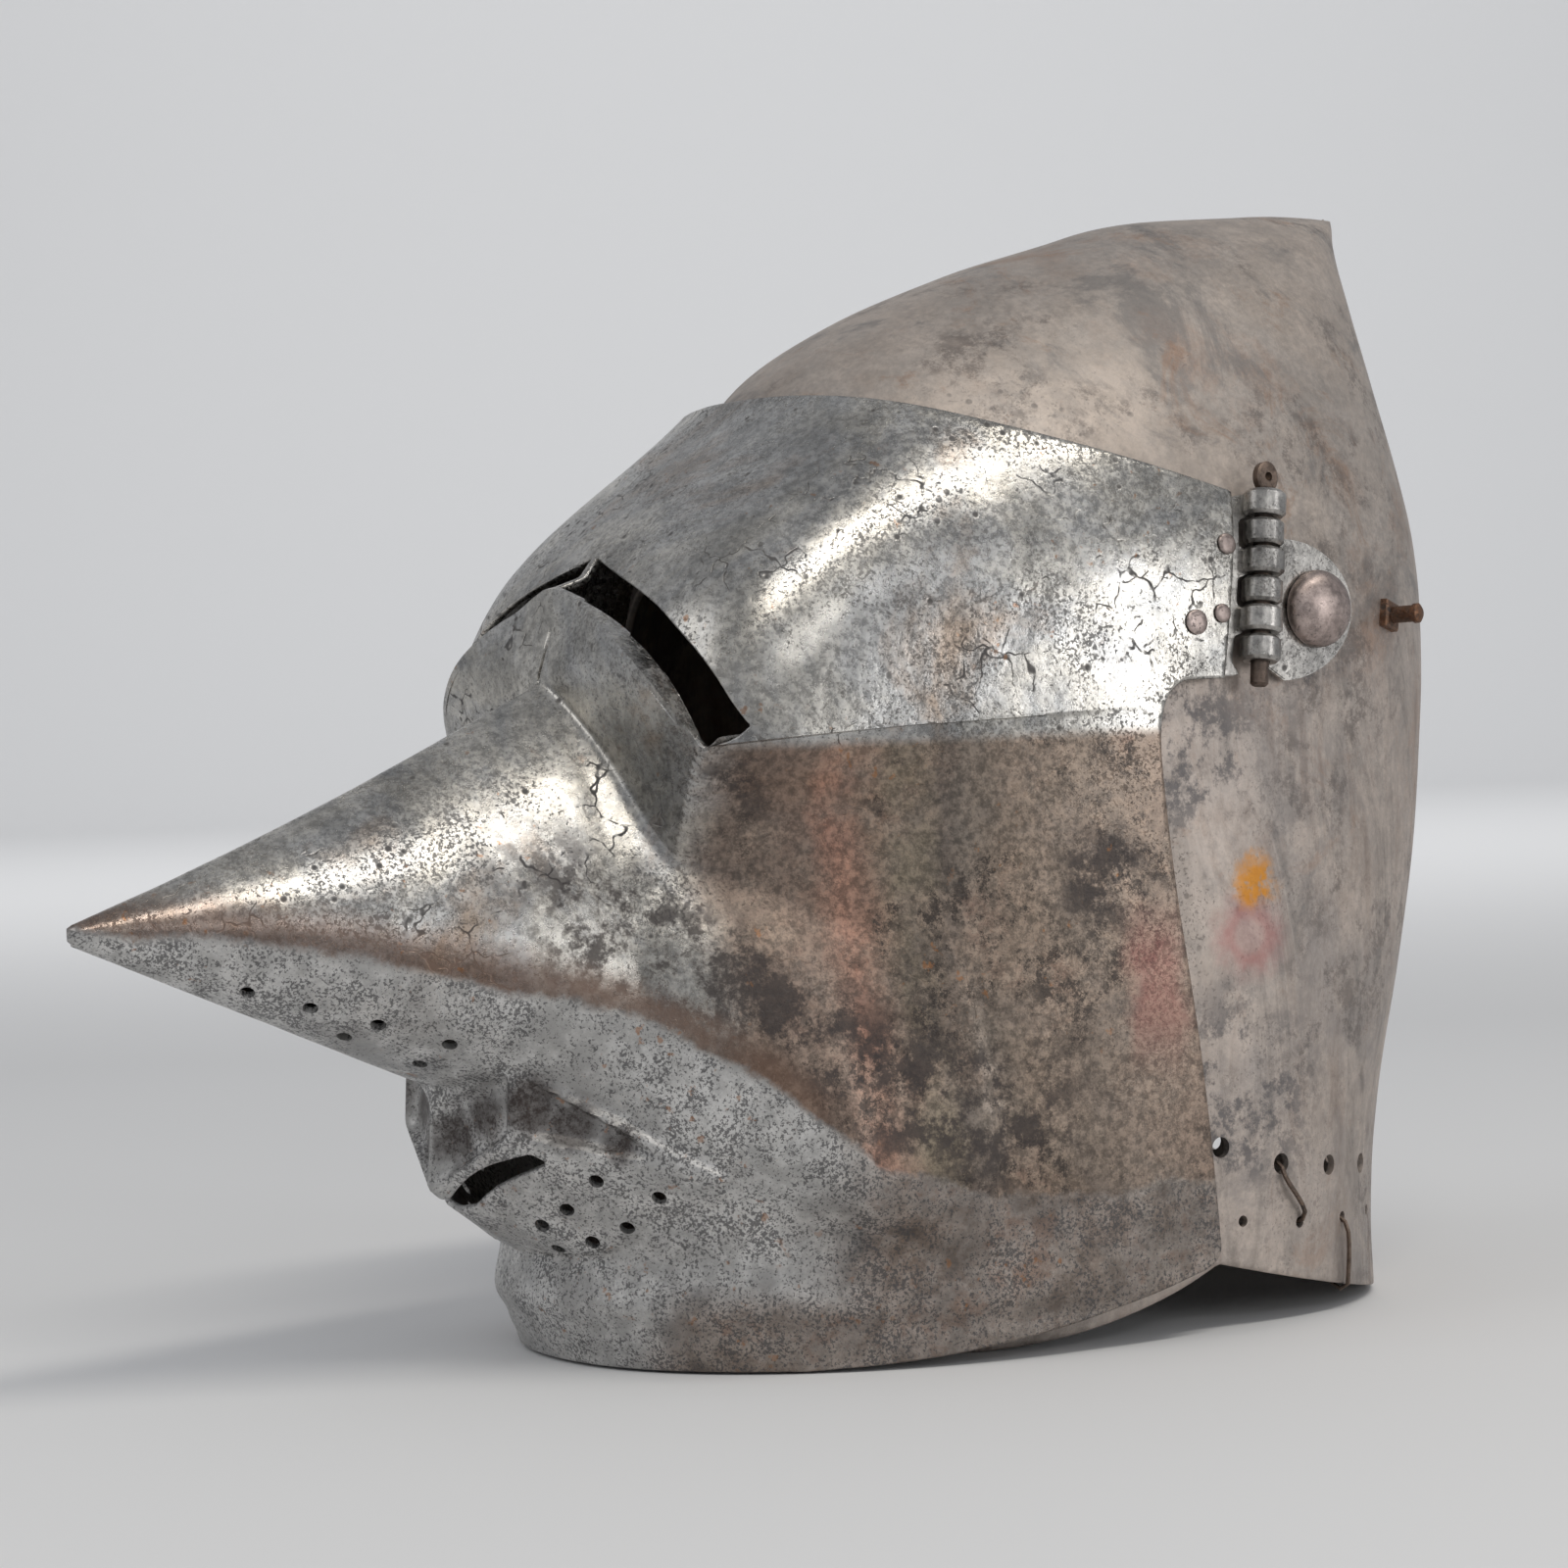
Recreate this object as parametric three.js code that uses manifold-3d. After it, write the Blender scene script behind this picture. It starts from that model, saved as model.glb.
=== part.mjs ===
// A visored bascinet: a pointed steel skull and a snouted visor that lifts on two side pivots.
// Millimetres. +X is the wearer's left, +Y the back, +Z up. The helmet stands on its lower rim at z = 0.

import * as THREE from 'three';
import { ConvexGeometry } from 'three/addons/geometries/ConvexGeometry.js';
import { mergeVertices } from 'three/addons/utils/BufferGeometryUtils.js';
import Module from 'manifold-3d';

const wasm = await Module();
wasm.setup();

// Plate and fits
const skullWall = 2;
const visorWall = 2;
const fitGap = 0.3;
const turningGap = 0.5;

// Skull
const skullHeight = 303;
const skullWidth = 181;
const skullBack = 202.2;
const skullFront = -38;
const rimRise = 18;
const faceOpeningWidth = 120;
const faceOpeningHeight = 205;
const rimFrontY = 4;
const rimSweepY = 40;
const crestY = 74;
const rimBendY = 112;
const heelY = 160;
const rimHolePitch = 20.5;
const rimHoleDiameter = 5.5;
const rimHoleHeight = 48.5;
const rimHoleDrop = 15;
const stitchHoleDiameter = 3;
const stitchHoleHeight = 28.5;
const stitchHoleDrop = 6;

// Visor
const visorStandOff = 6;
const snoutLength = 132;
const snoutTipHeight = 118.5;
const snoutTipWidth = 4.4;
const snoutHalfWidth = 52;
const snoutRidgeDrop = 31;
const snoutUnderDrop = 58;
const snoutTopHollow = 9;
const snoutCheekFlare = 29;
const snoutCheekDrop = 38;
const visorFoot = 0.6;
const barrelNotch = 10.1;
const sightWidth = 14;
const ledgeEndY = -8;
const ledgeRise = 3.5;
const sightDepth = 38;
const breathDiameter = 4;
const breathDepth = 7;
const mouthSlotWidth = 6;
const mouthSlotLength = 60;
const mouthSlotBend = 7;
const mouthSlotSetback = 4.5;

// Visor pivots and their hinges
const pivotY = 112;
const pivotHeightShare = 0.6205;
const pivotHeight = pivotHeightShare * skullHeight;
const pivotHeadDiameter = 20.5;
const pivotHeadRise = 6.5;
const pivotShankDiameter = 8;
const pivotWasherDiameter = 19;
const pivotRoveDiameter = 16;
const pivotRoveThickness = 2.6;
const plateThickness = 2;
const plateReach = 13;
const plateHalfHeight = 18.6;
const leafThickness = 1.6;
const leafReach = 25;
const leafRivetDiameter = 5.6;
const leafRivetShank = 3;
const leafRivetRise = 0.7;
const hingeFootSetback = 23.2;
const hingeFootDrop = 17.4;
const hingeFootY = pivotY - hingeFootSetback;
const hingeFootHeight = pivotHeight - hingeFootDrop;
const hingeLength = 49;
const hingeLeanBack = 9.2;
const barrelDiameter = 11.4;
const barrelClear = 1.5;
const hingePinDiameter = 4.8;
const pinEyeDiameter = 7;
const knuckleGap = 0.7;

// Rear studs and rim stitches
const studBaseWidth = 7.5;
const studBaseThickness = 2.5;
const studPegDiameter = 4.6;
const studPegLength = 7;
const studShankDiameter = 3;
const studSetback = 38;
const studDrop = 2;
const studY = pivotY + studSetback;
const studHeight = pivotHeight - studDrop;
const stitchWireDiameter = 1.3;

// How far cutters run past what they cut
const overrun = 20;
const cutReach = skullHeight + snoutLength;

// Materials, one for each mesh
const finishes = {
  skull: { color: 0xa89c95, roughness: 0.42, metalness: 0.9 },
  visor: { color: 0x9d9893, roughness: 0.38, metalness: 0.95 },
  fittings: { color: 0x8d8781, roughness: 0.36, metalness: 0.95 },
  rivets: { color: 0x7d7268, roughness: 0.4, metalness: 0.9 },
  iron: { color: 0x6b5548, roughness: 0.6, metalness: 0.8 },
};

// Skull sections from the rim up: shares of its height, its half width, and where its
// front, widest line and back stand between skullFront (0) and skullBack (1)
const skullSections = [
  { heightShare: 0.0, widthShare: 0.972, frontShare: 0.042, widestShare: 0.51, backShare: 0.868 },
  { heightShare: 0.1, widthShare: 0.989, frontShare: 0.029, widestShare: 0.508, backShare: 0.867 },
  { heightShare: 0.2, widthShare: 0.998, frontShare: 0.017, widestShare: 0.508, backShare: 0.89 },
  { heightShare: 0.3, widthShare: 1.0, frontShare: 0.004, widestShare: 0.508, backShare: 0.93 },
  { heightShare: 0.4, widthShare: 0.992, frontShare: 0.0, widestShare: 0.508, backShare: 0.966 },
  { heightShare: 0.5, widthShare: 0.978, frontShare: 0.0, widestShare: 0.508, backShare: 0.988 },
  { heightShare: 0.6, widthShare: 0.964, frontShare: 0.015, widestShare: 0.515, backShare: 1.0 },
  { heightShare: 0.68, widthShare: 0.938, frontShare: 0.04, widestShare: 0.526, backShare: 0.997 },
  { heightShare: 0.74, widthShare: 0.883, frontShare: 0.07, widestShare: 0.538, backShare: 0.986 },
  { heightShare: 0.8, widthShare: 0.798, frontShare: 0.119, widestShare: 0.563, backShare: 0.971 },
  { heightShare: 0.85, widthShare: 0.7, frontShare: 0.178, widestShare: 0.599, backShare: 0.962 },
  { heightShare: 0.9, widthShare: 0.573, frontShare: 0.292, widestShare: 0.647, backShare: 0.957 },
  { heightShare: 0.94, widthShare: 0.436, frontShare: 0.427, widestShare: 0.705, backShare: 0.957 },
  { heightShare: 0.97, widthShare: 0.299, frontShare: 0.561, widestShare: 0.772, backShare: 0.966 },
  { heightShare: 0.99, widthShare: 0.165, frontShare: 0.668, widestShare: 0.842, backShare: 0.98 },
  { heightShare: 1.0, widthShare: 0.066, frontShare: 0.83, widestShare: 0.91, backShare: 0.987 },
];

// Front line of the visor without its snout: heights and places in front of the skull's widest line
const visorFrontLine = [
  { heightShare: 0.0, reachShare: 1.285 },
  { heightShare: 0.05, reachShare: 1.355 },
  { heightShare: 0.1, reachShare: 1.29 },
  { heightShare: 0.17, reachShare: 1.4 },
  { heightShare: 0.26, reachShare: 1.365 },
  { heightShare: 0.36, reachShare: 1.3 },
  { heightShare: 0.5, reachShare: 1.255 },
  { heightShare: 0.6, reachShare: 1.24 },
  { heightShare: 0.66, reachShare: 1.18 },
  { heightShare: 0.7, reachShare: 1.098 },
  { heightShare: 0.74, reachShare: 0.984 },
  { heightShare: 0.78, reachShare: 0.86 },
  { heightShare: 0.82, reachShare: 0.755 },
  { heightShare: 0.86, reachShare: 0.685 },
];

// Places on the left half of the visor's face: shares of the skull's half width, of the reach
// forwards from its widest line to its front, and of its height
const faceShares = {
  snoutRoot: [0, 1.287, 0.583],
  sightInner: [0.033, 1.216, 0.66],
  sightOuter: [0.718, 1.212, 0.5215],
  valleyFoot: [0.497, 1.184, 0.426],
  behindSight: [0.33, 0.69, 0.5215],
  behindValley: [0.22, 0.69, 0.426],
  lipMiddle: [0, 1.592, 0.158],
  lipTop: [0, 1.58, 0.2475],
  lipCorner: [0.309, 1.522, 0.205],
  lipCornerTop: [0.309, 1.514, 0.261],
  lipEnd: [0.696, 1.188, 0.167],
  underLip: [0, 1.376, 0.096],
  underLipSide: [0.287, 1.327, 0.099],
  underLipEnd: [0.552, 1.139, 0.119],
  behindMouthTop: [0.442, 0.935, 0.297],
  behindMouthFoot: [0.442, 0.935, 0.132],
};

// Breaths by the direction they are drilled in: under the snout, and under the lip
const breathShares = [
  {
    drillShare: [0.54, -0.4, -0.74],
    places: [[0.122, 2.029, 0.337], [0.166, 1.906, 0.323], [0.221, 1.776, 0.307], [0.276, 1.637, 0.287]],
  },
  {
    drillShare: [0.44, -0.4, -0.8],
    places: [[0.122, 1.816, 0.297], [0.155, 1.661, 0.267]],
  },
  {
    drillShare: [0.58, -0.64, -0.51],
    places: [
      [0.42, 1.367, 0.168],
      [0.53, 1.269, 0.152],
      [0.309, 1.392, 0.142],
      [0.409, 1.294, 0.125],
      [0.221, 1.416, 0.127],
      [0.309, 1.335, 0.112],
      [0.188, 1.366, 0.104],
    ],
  },
];

// Side edges of the visor from the chin back and up: forward reach and height, two bends to a curve
const visorEdgeShares = {
  chin: [1.016, 0.002],
  jaw: [[0.567, 0.0086], [0.184, 0.0565]],
  rearCorner: [[0.118, 0.0615], [0.117, 0.078]],
  rearEdge: [[0.159, 0.2475], [0.2, 0.363]],
  upperRearEdge: [[0.224, 0.4455], [0.224, 0.5017]],
  hingeNotch: [0.224, 0.135],
  topEdge: [[0.404, 0.779], [0.763, 0.825]],
};

// Rivets of the hinge leaf: up the hinge, forward of it over the leaf, and the head's size
const leafRivetShares = [
  { alongShare: 0.722, forwardShare: 0.498, sizeShare: 1 },
  { alongShare: 0.335, forwardShare: 0.515, sizeShare: 0.9 },
  { alongShare: 0.304, forwardShare: 0.844, sizeShare: 1.18 },
];

// A value of a list of sections at a height, along a smooth curve through the sections
function sectionValue(sections, name, heightShare) {
  const last = sections.length - 2;
  const clamped = THREE.MathUtils.clamp(heightShare, sections[0].heightShare, sections[last + 1].heightShare);
  let k = 0;
  while (k < last && sections[k + 1].heightShare < clamped) k += 1;
  const slope = (i) => {
    const low = sections[Math.max(i - 1, 0)];
    const high = sections[Math.min(i + 1, last + 1)];
    return (high[name] - low[name]) / (high.heightShare - low.heightShare);
  };
  const from = sections[k];
  const to = sections[k + 1];
  const step = to.heightShare - from.heightShare;
  const t = (clamped - from.heightShare) / step;
  const blend = t * t * (3 - 2 * t);
  const startBend = t * (1 - t) * (1 - t) * step * slope(k);
  const endBend = t * t * (1 - t) * step * slope(k + 1);
  return from[name] * (1 - blend) + to[name] * blend + startBend - endBend;
}

const point = (x, y, z) => new THREE.Vector3(x, y, z);

// Across and along a rounded oval whose half axes are one
const ovalPower = 2.2;
const signedPower = (value, power) => Math.sign(value) * Math.abs(value) ** power;
const ovalSide = (angle, power = ovalPower) => signedPower(Math.cos(angle), 2 / power);
const ovalEnd = (angle, power = ovalPower) => signedPower(Math.sin(angle), 2 / power);

const skullDepth = skullBack - skullFront;
const skullPlace = (share) => skullFront + share * skullDepth;
const skullHalfWidth = (height) =>
  0.5 * skullWidth * sectionValue(skullSections, 'widthShare', height / skullHeight);
const widestLineY = (height) => skullPlace(sectionValue(skullSections, 'widestShare', height / skullHeight));
const midWidestY = widestLineY(0);
const faceReach = midWidestY - skullFront;
const sideAt = ([reachShare, heightShare]) => [midWidestY - faceReach * reachShare, skullHeight * heightShare];

function placeAt([widthShare, reachShare, heightShare]) {
  const [y, height] = sideAt([reachShare, heightShare]);
  return point(0.5 * skullWidth * widthShare, y, height);
}

const faceAt = (name) => placeAt(faceShares[name]);

// A point of the skull's outer face; angle 0 is the left side and 90 degrees the back
function skullPoint(height, angle) {
  const share = height / skullHeight;
  const widest = widestLineY(height);
  const end = angle > 0 && angle < Math.PI ? 'backShare' : 'frontShare';
  const reach = Math.abs(skullPlace(sectionValue(skullSections, end, share)) - widest);
  return point(skullHalfWidth(height) * ovalSide(angle), widest + reach * ovalEnd(angle), height);
}

// A point of the visor's outer face, at the front of the same ovals
function visorPoint(height, angle, power = ovalPower) {
  const widest = widestLineY(height);
  const reach = faceReach * sectionValue(visorFrontLine, 'reachShare', height / skullHeight);
  const half = skullHalfWidth(height) + visorStandOff;
  const y = widest + (reach + widest - midWidestY) * ovalEnd(angle, power);
  return point(half * ovalSide(angle, power), y, height);
}

// The same point moved inwards, square to the face
function insetPoint(facePoint, height, angle, inset) {
  const point = facePoint(height, angle);
  if (inset === 0) return point;
  const heightStep = 0.5;
  const angleStep = 0.02;
  const along = facePoint(height, angle + angleStep).sub(facePoint(height, angle - angleStep));
  const up = facePoint(height + heightStep, angle).sub(facePoint(height - heightStep, angle));
  return point.addScaledVector(along.cross(up).normalize(), -inset);
}

// A closed solid through rings of points that run the same way round
function loftSolid(rings) {
  const sides = rings[0].length;
  const positions = rings.flat().flatMap((point) => [point.x, point.y, point.z]);
  const faces = [];
  for (let k = 0; k < rings.length - 1; k += 1) {
    for (let i = 0; i < sides; i += 1) {
      const next = (i + 1) % sides;
      const low = k * sides;
      const high = low + sides;
      faces.push(low + i, low + next, high + next, low + i, high + next, high + i);
    }
  }
  for (const [ring, turn] of [[0, -1], [rings.length - 1, 1]]) {
    const middle = positions.length / 3;
    const centre = rings[ring].reduce((sum, point) => sum.add(point), new THREE.Vector3());
    centre.divideScalar(sides);
    positions.push(centre.x, centre.y, centre.z);
    for (let i = 0; i < sides; i += 1) {
      const edge = [ring * sides + i, ring * sides + ((i + 1) % sides)];
      if (turn < 0) edge.reverse();
      faces.push(middle, ...edge);
    }
  }
  return new wasm.Manifold(
    new wasm.Mesh({
      numProp: 3,
      vertProperties: new Float32Array(positions),
      triVerts: new Uint32Array(faces),
    }),
  );
}

// A three.js geometry, placed by a matrix, as a solid that can be cut and joined
function solidOf(geometry, matrix) {
  const bare = geometry.clone();
  if (matrix) bare.applyMatrix4(matrix);
  bare.deleteAttribute('normal');
  bare.deleteAttribute('uv');
  const merged = mergeVertices(bare, 1e-4);
  return new wasm.Manifold(
    new wasm.Mesh({
      numProp: 3,
      vertProperties: new Float32Array(merged.attributes.position.array),
      triVerts: new Uint32Array(merged.index.array),
    }),
  );
}

const hullSolid = (points) => solidOf(new ConvexGeometry(points));

function geometryOf(solid) {
  const mesh = solid.getMesh();
  const geometry = new THREE.BufferGeometry();
  geometry.setAttribute('position', new THREE.BufferAttribute(new Float32Array(mesh.vertProperties), 3));
  geometry.setIndex(new THREE.BufferAttribute(new Uint32Array(mesh.triVerts), 1));
  return geometry;
}

function namedMesh(name, solidOrGeometry, finish) {
  const geometry = solidOrGeometry.isBufferGeometry ? solidOrGeometry : geometryOf(solidOrGeometry);
  const mesh = new THREE.Mesh(geometry, new THREE.MeshStandardMaterial(finishes[finish]));
  mesh.name = name;
  return mesh;
}

// A cylinder from one point to another
function rodGeometry(from, to, diameter, sides) {
  const way = to.clone().sub(from);
  const rod = new THREE.CylinderGeometry(diameter / 2, diameter / 2, way.length(), sides);
  const turn = new THREE.Quaternion().setFromUnitVectors(new THREE.Vector3(0, 1, 0), way.clone().normalize());
  rod.applyQuaternion(turn);
  const middle = from.clone().add(to).multiplyScalar(0.5);
  return rod.translate(middle.x, middle.y, middle.z);
}

const rodSolid = (from, to, diameter, sides = 16) => solidOf(rodGeometry(from, to, diameter, sides));

// A side view outline, in y and z, pushed through the helmet from one x to another
function sideOutlineSolid(outline, fromX, toX) {
  const geometry = new THREE.ExtrudeGeometry(outline, { depth: toX - fromX, bevelEnabled: false, curveSegments: 10 });
  const yToX = new THREE.Matrix4().makeBasis(
    new THREE.Vector3(0, 1, 0),
    new THREE.Vector3(0, 0, 1),
    new THREE.Vector3(1, 0, 0),
  );
  return solidOf(geometry.applyMatrix4(yToX).translate(fromX, 0, 0));
}

// Heights of sections, closer together towards the top
function sectionHeights(count, bottom, top) {
  return Array.from({ length: count + 1 }, (_, k) => bottom + (top - bottom) * Math.sin((k / count) * Math.PI * 0.5));
}

const skullSides = 32;
const visorSides = 20;
const skullAngles = Array.from({ length: skullSides }, (_, i) => (i / skullSides) * 2 * Math.PI - Math.PI + 1e-3);
const visorAngles = Array.from({ length: visorSides + 1 }, (_, i) => -Math.PI * (1 - i / visorSides));
const visorFillY = pivotY;
const visorTopShare = 0.85;
const visorTopHeight = visorTopShare * skullHeight;

function skullSolid(inset) {
  const topShare = inset > 0 ? 0.975 : 1;
  const heights = sectionHeights(12, -0.5 * overrun, skullHeight * topShare);
  return loftSolid(
    heights.map((height) => skullAngles.map((angle) => insetPoint(skullPoint, height, angle, inset))),
  );
}

// One level of the visor's face, filled back past its side edges
function visorRing(height, inset) {
  const arc = visorAngles.map((angle) => insetPoint(visorPoint, height, angle, inset));
  const half = arc[arc.length - 1].x;
  return [...arc, point(half, visorFillY, height), point(-half, visorFillY, height)];
}

// Snout: a cone whose top is nearly a straight line, with a ridge low on each side
const snoutRoot = faceAt('snoutRoot');
const snoutRootDrop = 3.7;
const cheekBlendShare = 0.35;
const snoutTipY = snoutRoot.y - snoutLength;

// A point of the snout, a distance behind its tip; angle 0 is the left ridge and -90 degrees the top
function snoutPoint(distance, angle) {
  const share = Math.max(distance, 0) / snoutLength;
  const ahead = Math.min(share, 1);
  const behind = Math.min((share - ahead) / cheekBlendShare, 1);
  const ridgeHeight = snoutTipHeight - snoutRidgeDrop * ahead ** 1.8 - snoutCheekDrop * behind;
  const hollow = snoutTopHollow * share * (1 - share);
  const rootHeight = snoutRoot.z - snoutRootDrop;
  const top = snoutTipHeight + 0.5 * snoutTipWidth + (rootHeight - snoutTipHeight) * share - hollow;
  const under = snoutTipHeight - 0.5 * snoutTipWidth - snoutUnderDrop * share;
  const flare = snoutCheekFlare * (1 - (1 - behind) ** 1.5);
  const half = 0.5 * snoutTipWidth * (1 - ahead) + snoutHalfWidth * ahead + flare;
  const isTop = Math.sin(angle) < 0;
  const topPower = THREE.MathUtils.lerp(1.9, 1.4, ahead);
  const underPower = 1.75 + 4 * Math.max(share - 0.8, 0);
  const power = isTop ? topPower : underPower;
  const side = Math.sign(Math.cos(angle)) * Math.abs(Math.cos(angle)) ** (2 / power);
  const rise = Math.abs(Math.sin(angle)) ** (2 / power) * (isTop ? top - ridgeHeight : under - ridgeHeight);
  return point(half * side, snoutTipY + distance, ridgeHeight + rise);
}

function snoutSolid(inset) {
  const snoutSides = 20;
  const angles = Array.from({ length: snoutSides }, (_, i) => (i / snoutSides) * 2 * Math.PI + 1e-3);
  const startShare = inset > 0 ? 0.09 : 0;
  const endShare = 1.55;
  const ringShares = [0, 0.17, 0.34, 0.5, 0.65, 0.73, 0.8, 0.87, 1].map(
    (share) => startShare + share * (endShare - startShare),
  );
  return loftSolid(
    ringShares.map((share) => angles.map((angle) => insetPoint(snoutPoint, share * snoutLength, angle, inset))),
  );
}

// A point on the left side of the visor's face at a height and a place from front to back
function sidePoint(facePoint, y, height) {
  const front = facePoint(height, -0.5 * Math.PI).y;
  const widest = widestLineY(height);
  const half = facePoint(height, 0).x;
  const share = THREE.MathUtils.clamp((widest - y) / (widest - front), 0, 1);
  return point(half * (1 - share ** ovalPower) ** (1 / ovalPower), y, height);
}

const mirrored = (points) => points.flatMap((p) => [p, point(-p.x, p.y, p.z)]);
const movedBack = (points, inset) => points.map((p) => point(p.x - Math.sign(p.x) * inset, p.y + 1.2 * inset, p.z));

// Brow with the sights: the ledge below each sight runs out to a corner and fades along the cheek
const sightInner = faceAt('sightInner');
const sightOuter = faceAt('sightOuter');
const valleyFoot = faceAt('valleyFoot');
const onLedge = (share) => sightInner.clone().lerp(sightOuter, share);

const ledgeEnd = sidePoint(visorPoint, ledgeEndY, sightOuter.z + ledgeRise);
const ledgeFade = 0.32 * sightWidth;

// The front of the brow: round at the top, squarer down to the ledge under the sights
const browRoundShare = 0.918;

function browPoint(height, angle) {
  const share = THREE.MathUtils.smoothstep(height, sightOuter.z - ledgeFade, browRoundShare * skullHeight);
  return visorPoint(height, angle, THREE.MathUtils.lerp(4.6, ovalPower, share));
}

// Front view of what stands above the line of the sights and their ledges
function aboveSights(inset) {
  const left = [
    [sightInner.x, sightInner.z],
    [sightOuter.x, sightOuter.z],
    [ledgeEnd.x + overrun, ledgeEnd.z + fitGap],
    [ledgeEnd.x + overrun, visorTopHeight + overrun],
  ];
  const outline = new THREE.Shape();
  outline.moveTo(0, sightInner.z + inset);
  for (const [x, z] of left) outline.lineTo(x, z + inset);
  for (const [x, z] of left.reverse()) outline.lineTo(-x, z + inset);
  const geometry = new THREE.ExtrudeGeometry(outline, { depth: 2 * cutReach, bevelEnabled: false });
  return solidOf(geometry.rotateX(0.5 * Math.PI).translate(0, cutReach, 0));
}

// The whole brow: its squared front drawn back tangent to the round sides of the visor
function browLayer(inset) {
  const squaredAngles = [-52, -60, -72, -90, -108, -120, -128].map(THREE.MathUtils.degToRad);
  return hullSolid(
    sectionHeights(7, sightOuter.z - sightWidth, visorTopHeight).flatMap((height) => [
      ...visorRing(height, inset),
      ...squaredAngles.map((angle) => insetPoint(browPoint, height, angle, inset)),
    ]),
  );
}

// The cheeks under the ledges, drawn from the valleys beside the snout back tangent to the sides
function cheekSolid(inset) {
  const valleys = movedBack(mirrored([sightOuter, valleyFoot]), inset);
  const rings = sectionHeights(4, valleyFoot.z - overrun, ledgeEnd.z - inset).map((height) => visorRing(height, inset));
  return hullSolid([...rings.flat(), ...valleys]);
}

function browSolid(inset) {
  const underEyes = mirrored([
    sightInner,
    sightOuter,
    valleyFoot,
    faceAt('behindSight'),
    faceAt('behindValley'),
  ]);
  return browLayer(inset)
    .intersect(aboveSights(inset))
    .add(cheekSolid(inset))
    .add(hullSolid(movedBack([...underEyes, snoutRoot], inset)));
}

// Mouth: an upright box under the snout, above a slanting under side
const lipMiddle = faceAt('lipMiddle');

function mouthSolid(inset) {
  const corners = [
    'lipCorner',
    'lipCornerTop',
    'lipEnd',
    'underLipSide',
    'underLipEnd',
    'behindMouthTop',
    'behindMouthFoot',
  ].map(faceAt);
  return hullSolid(movedBack([...mirrored(corners), lipMiddle, faceAt('lipTop'), faceAt('underLip')], inset));
}

// The face without brow, snout and mouth, up to a height; above the ledges it lies just under the brow
function baseSolid(inset, top) {
  const buriedDepth = 0.6 * visorWall;
  return loftSolid(
    sectionHeights(9, -0.5 * overrun, top).map((height) => {
      const buriedShare = THREE.MathUtils.smoothstep(height, ledgeEnd.z - ledgeFade, ledgeEnd.z);
      return visorRing(height, inset + buriedDepth * buriedShare);
    }),
  );
}

function visorBody(inset, baseTop) {
  return [snoutSolid(inset), browSolid(inset), mouthSolid(inset)].reduce(
    (sum, solid) => sum.add(solid),
    baseSolid(inset, baseTop),
  );
}

// Hinge line of the left side: it stands up from the foot, leaning in and back along the skull
const hingeX = (height) => skullHalfWidth(height) + barrelClear + 0.5 * barrelDiameter;
const hingeFoot = point(hingeX(hingeFootHeight), hingeFootY, hingeFootHeight);
const hingeTopHeight = hingeFootHeight + hingeLength;
const hingeTop = point(hingeX(hingeTopHeight), hingeFootY + hingeLeanBack, hingeTopHeight);
const onHinge = (share) => hingeFoot.clone().lerp(hingeTop, share);
const hingeYAt = (height) => hingeFootY + (hingeLeanBack * (height - hingeFootHeight)) / hingeLength;

// Side view of the visor: what lies inside this outline is kept
function visorOutline() {
  const outline = new THREE.Shape();
  const curveAlong = ([bend, end]) => outline.quadraticCurveTo(...sideAt(bend), ...sideAt(end));
  outline.moveTo(snoutTipY - overrun, visorFoot);
  outline.lineTo(sideAt(visorEdgeShares.chin)[0], visorFoot);
  curveAlong(visorEdgeShares.jaw);
  curveAlong(visorEdgeShares.rearCorner);
  curveAlong(visorEdgeShares.rearEdge);
  curveAlong(visorEdgeShares.upperRearEdge);
  const [notchBendY, notchEndY] = visorEdgeShares.hingeNotch.map((reachShare) => sideAt([reachShare, 0])[0]);
  outline.quadraticCurveTo(notchBendY, hingeFootHeight, notchEndY, hingeFootHeight);
  outline.lineTo(hingeYAt(hingeFootHeight) - barrelNotch, hingeFootHeight);
  outline.lineTo(hingeYAt(hingeTopHeight) - barrelNotch, hingeTopHeight - fitGap);
  curveAlong(visorEdgeShares.topEdge);
  outline.lineTo(snoutTipY - overrun, visorTopHeight + overrun);
  outline.closePath();
  return outline;
}

// Upper edge of a sight: places along its ledge, and how far it rises from there
const sightTopShares = [
  { alongShare: 0, riseShares: [-0.13, 0.75, 0.56] },
  { alongShare: 0.25, riseShares: [0.84, 0.29, 0.66] },
  { alongShare: 0.5, riseShares: [0.99, 0.14, 0.82] },
  { alongShare: 0.75, riseShares: [0.94, 0.21, 0.72] },
  { alongShare: 1, riseShares: [0.56, 0.53, 0.37] },
];

// One sight: straight along the ledge below, arched above
function sightCutter() {
  const inwards = point(-0.05, 0.8, -0.6).multiplyScalar(sightDepth);
  const outwards = point(0.05, -0.32, 0.32).multiplyScalar(sightDepth);
  const lift = point(0, 0.07, 0.07).multiplyScalar(sightWidth);
  const top = sightTopShares.map(({ alongShare, riseShares }) =>
    onLedge(alongShare).addScaledVector(point(...riseShares), sightWidth),
  );
  const edge = [onLedge(0.025).add(lift), onLedge(0.96).add(lift), ...top];
  return hullSolid(edge.flatMap((p) => [p.clone().add(inwards), p.clone().add(outwards)]));
}

// Holes drilled square to a face at points of the left side, copied to the right
function drilledHoles(facePoint, places, diameter) {
  return places.flatMap(([y, height]) => {
    const at = sidePoint(facePoint, y, height);
    const out = sideNormal(facePoint, y, height).multiplyScalar(breathDepth);
    const hole = rodSolid(at.clone().sub(out), at.clone().add(out), diameter, 8);
    return [hole, hole.mirror([1, 0, 0])];
  });
}

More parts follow.
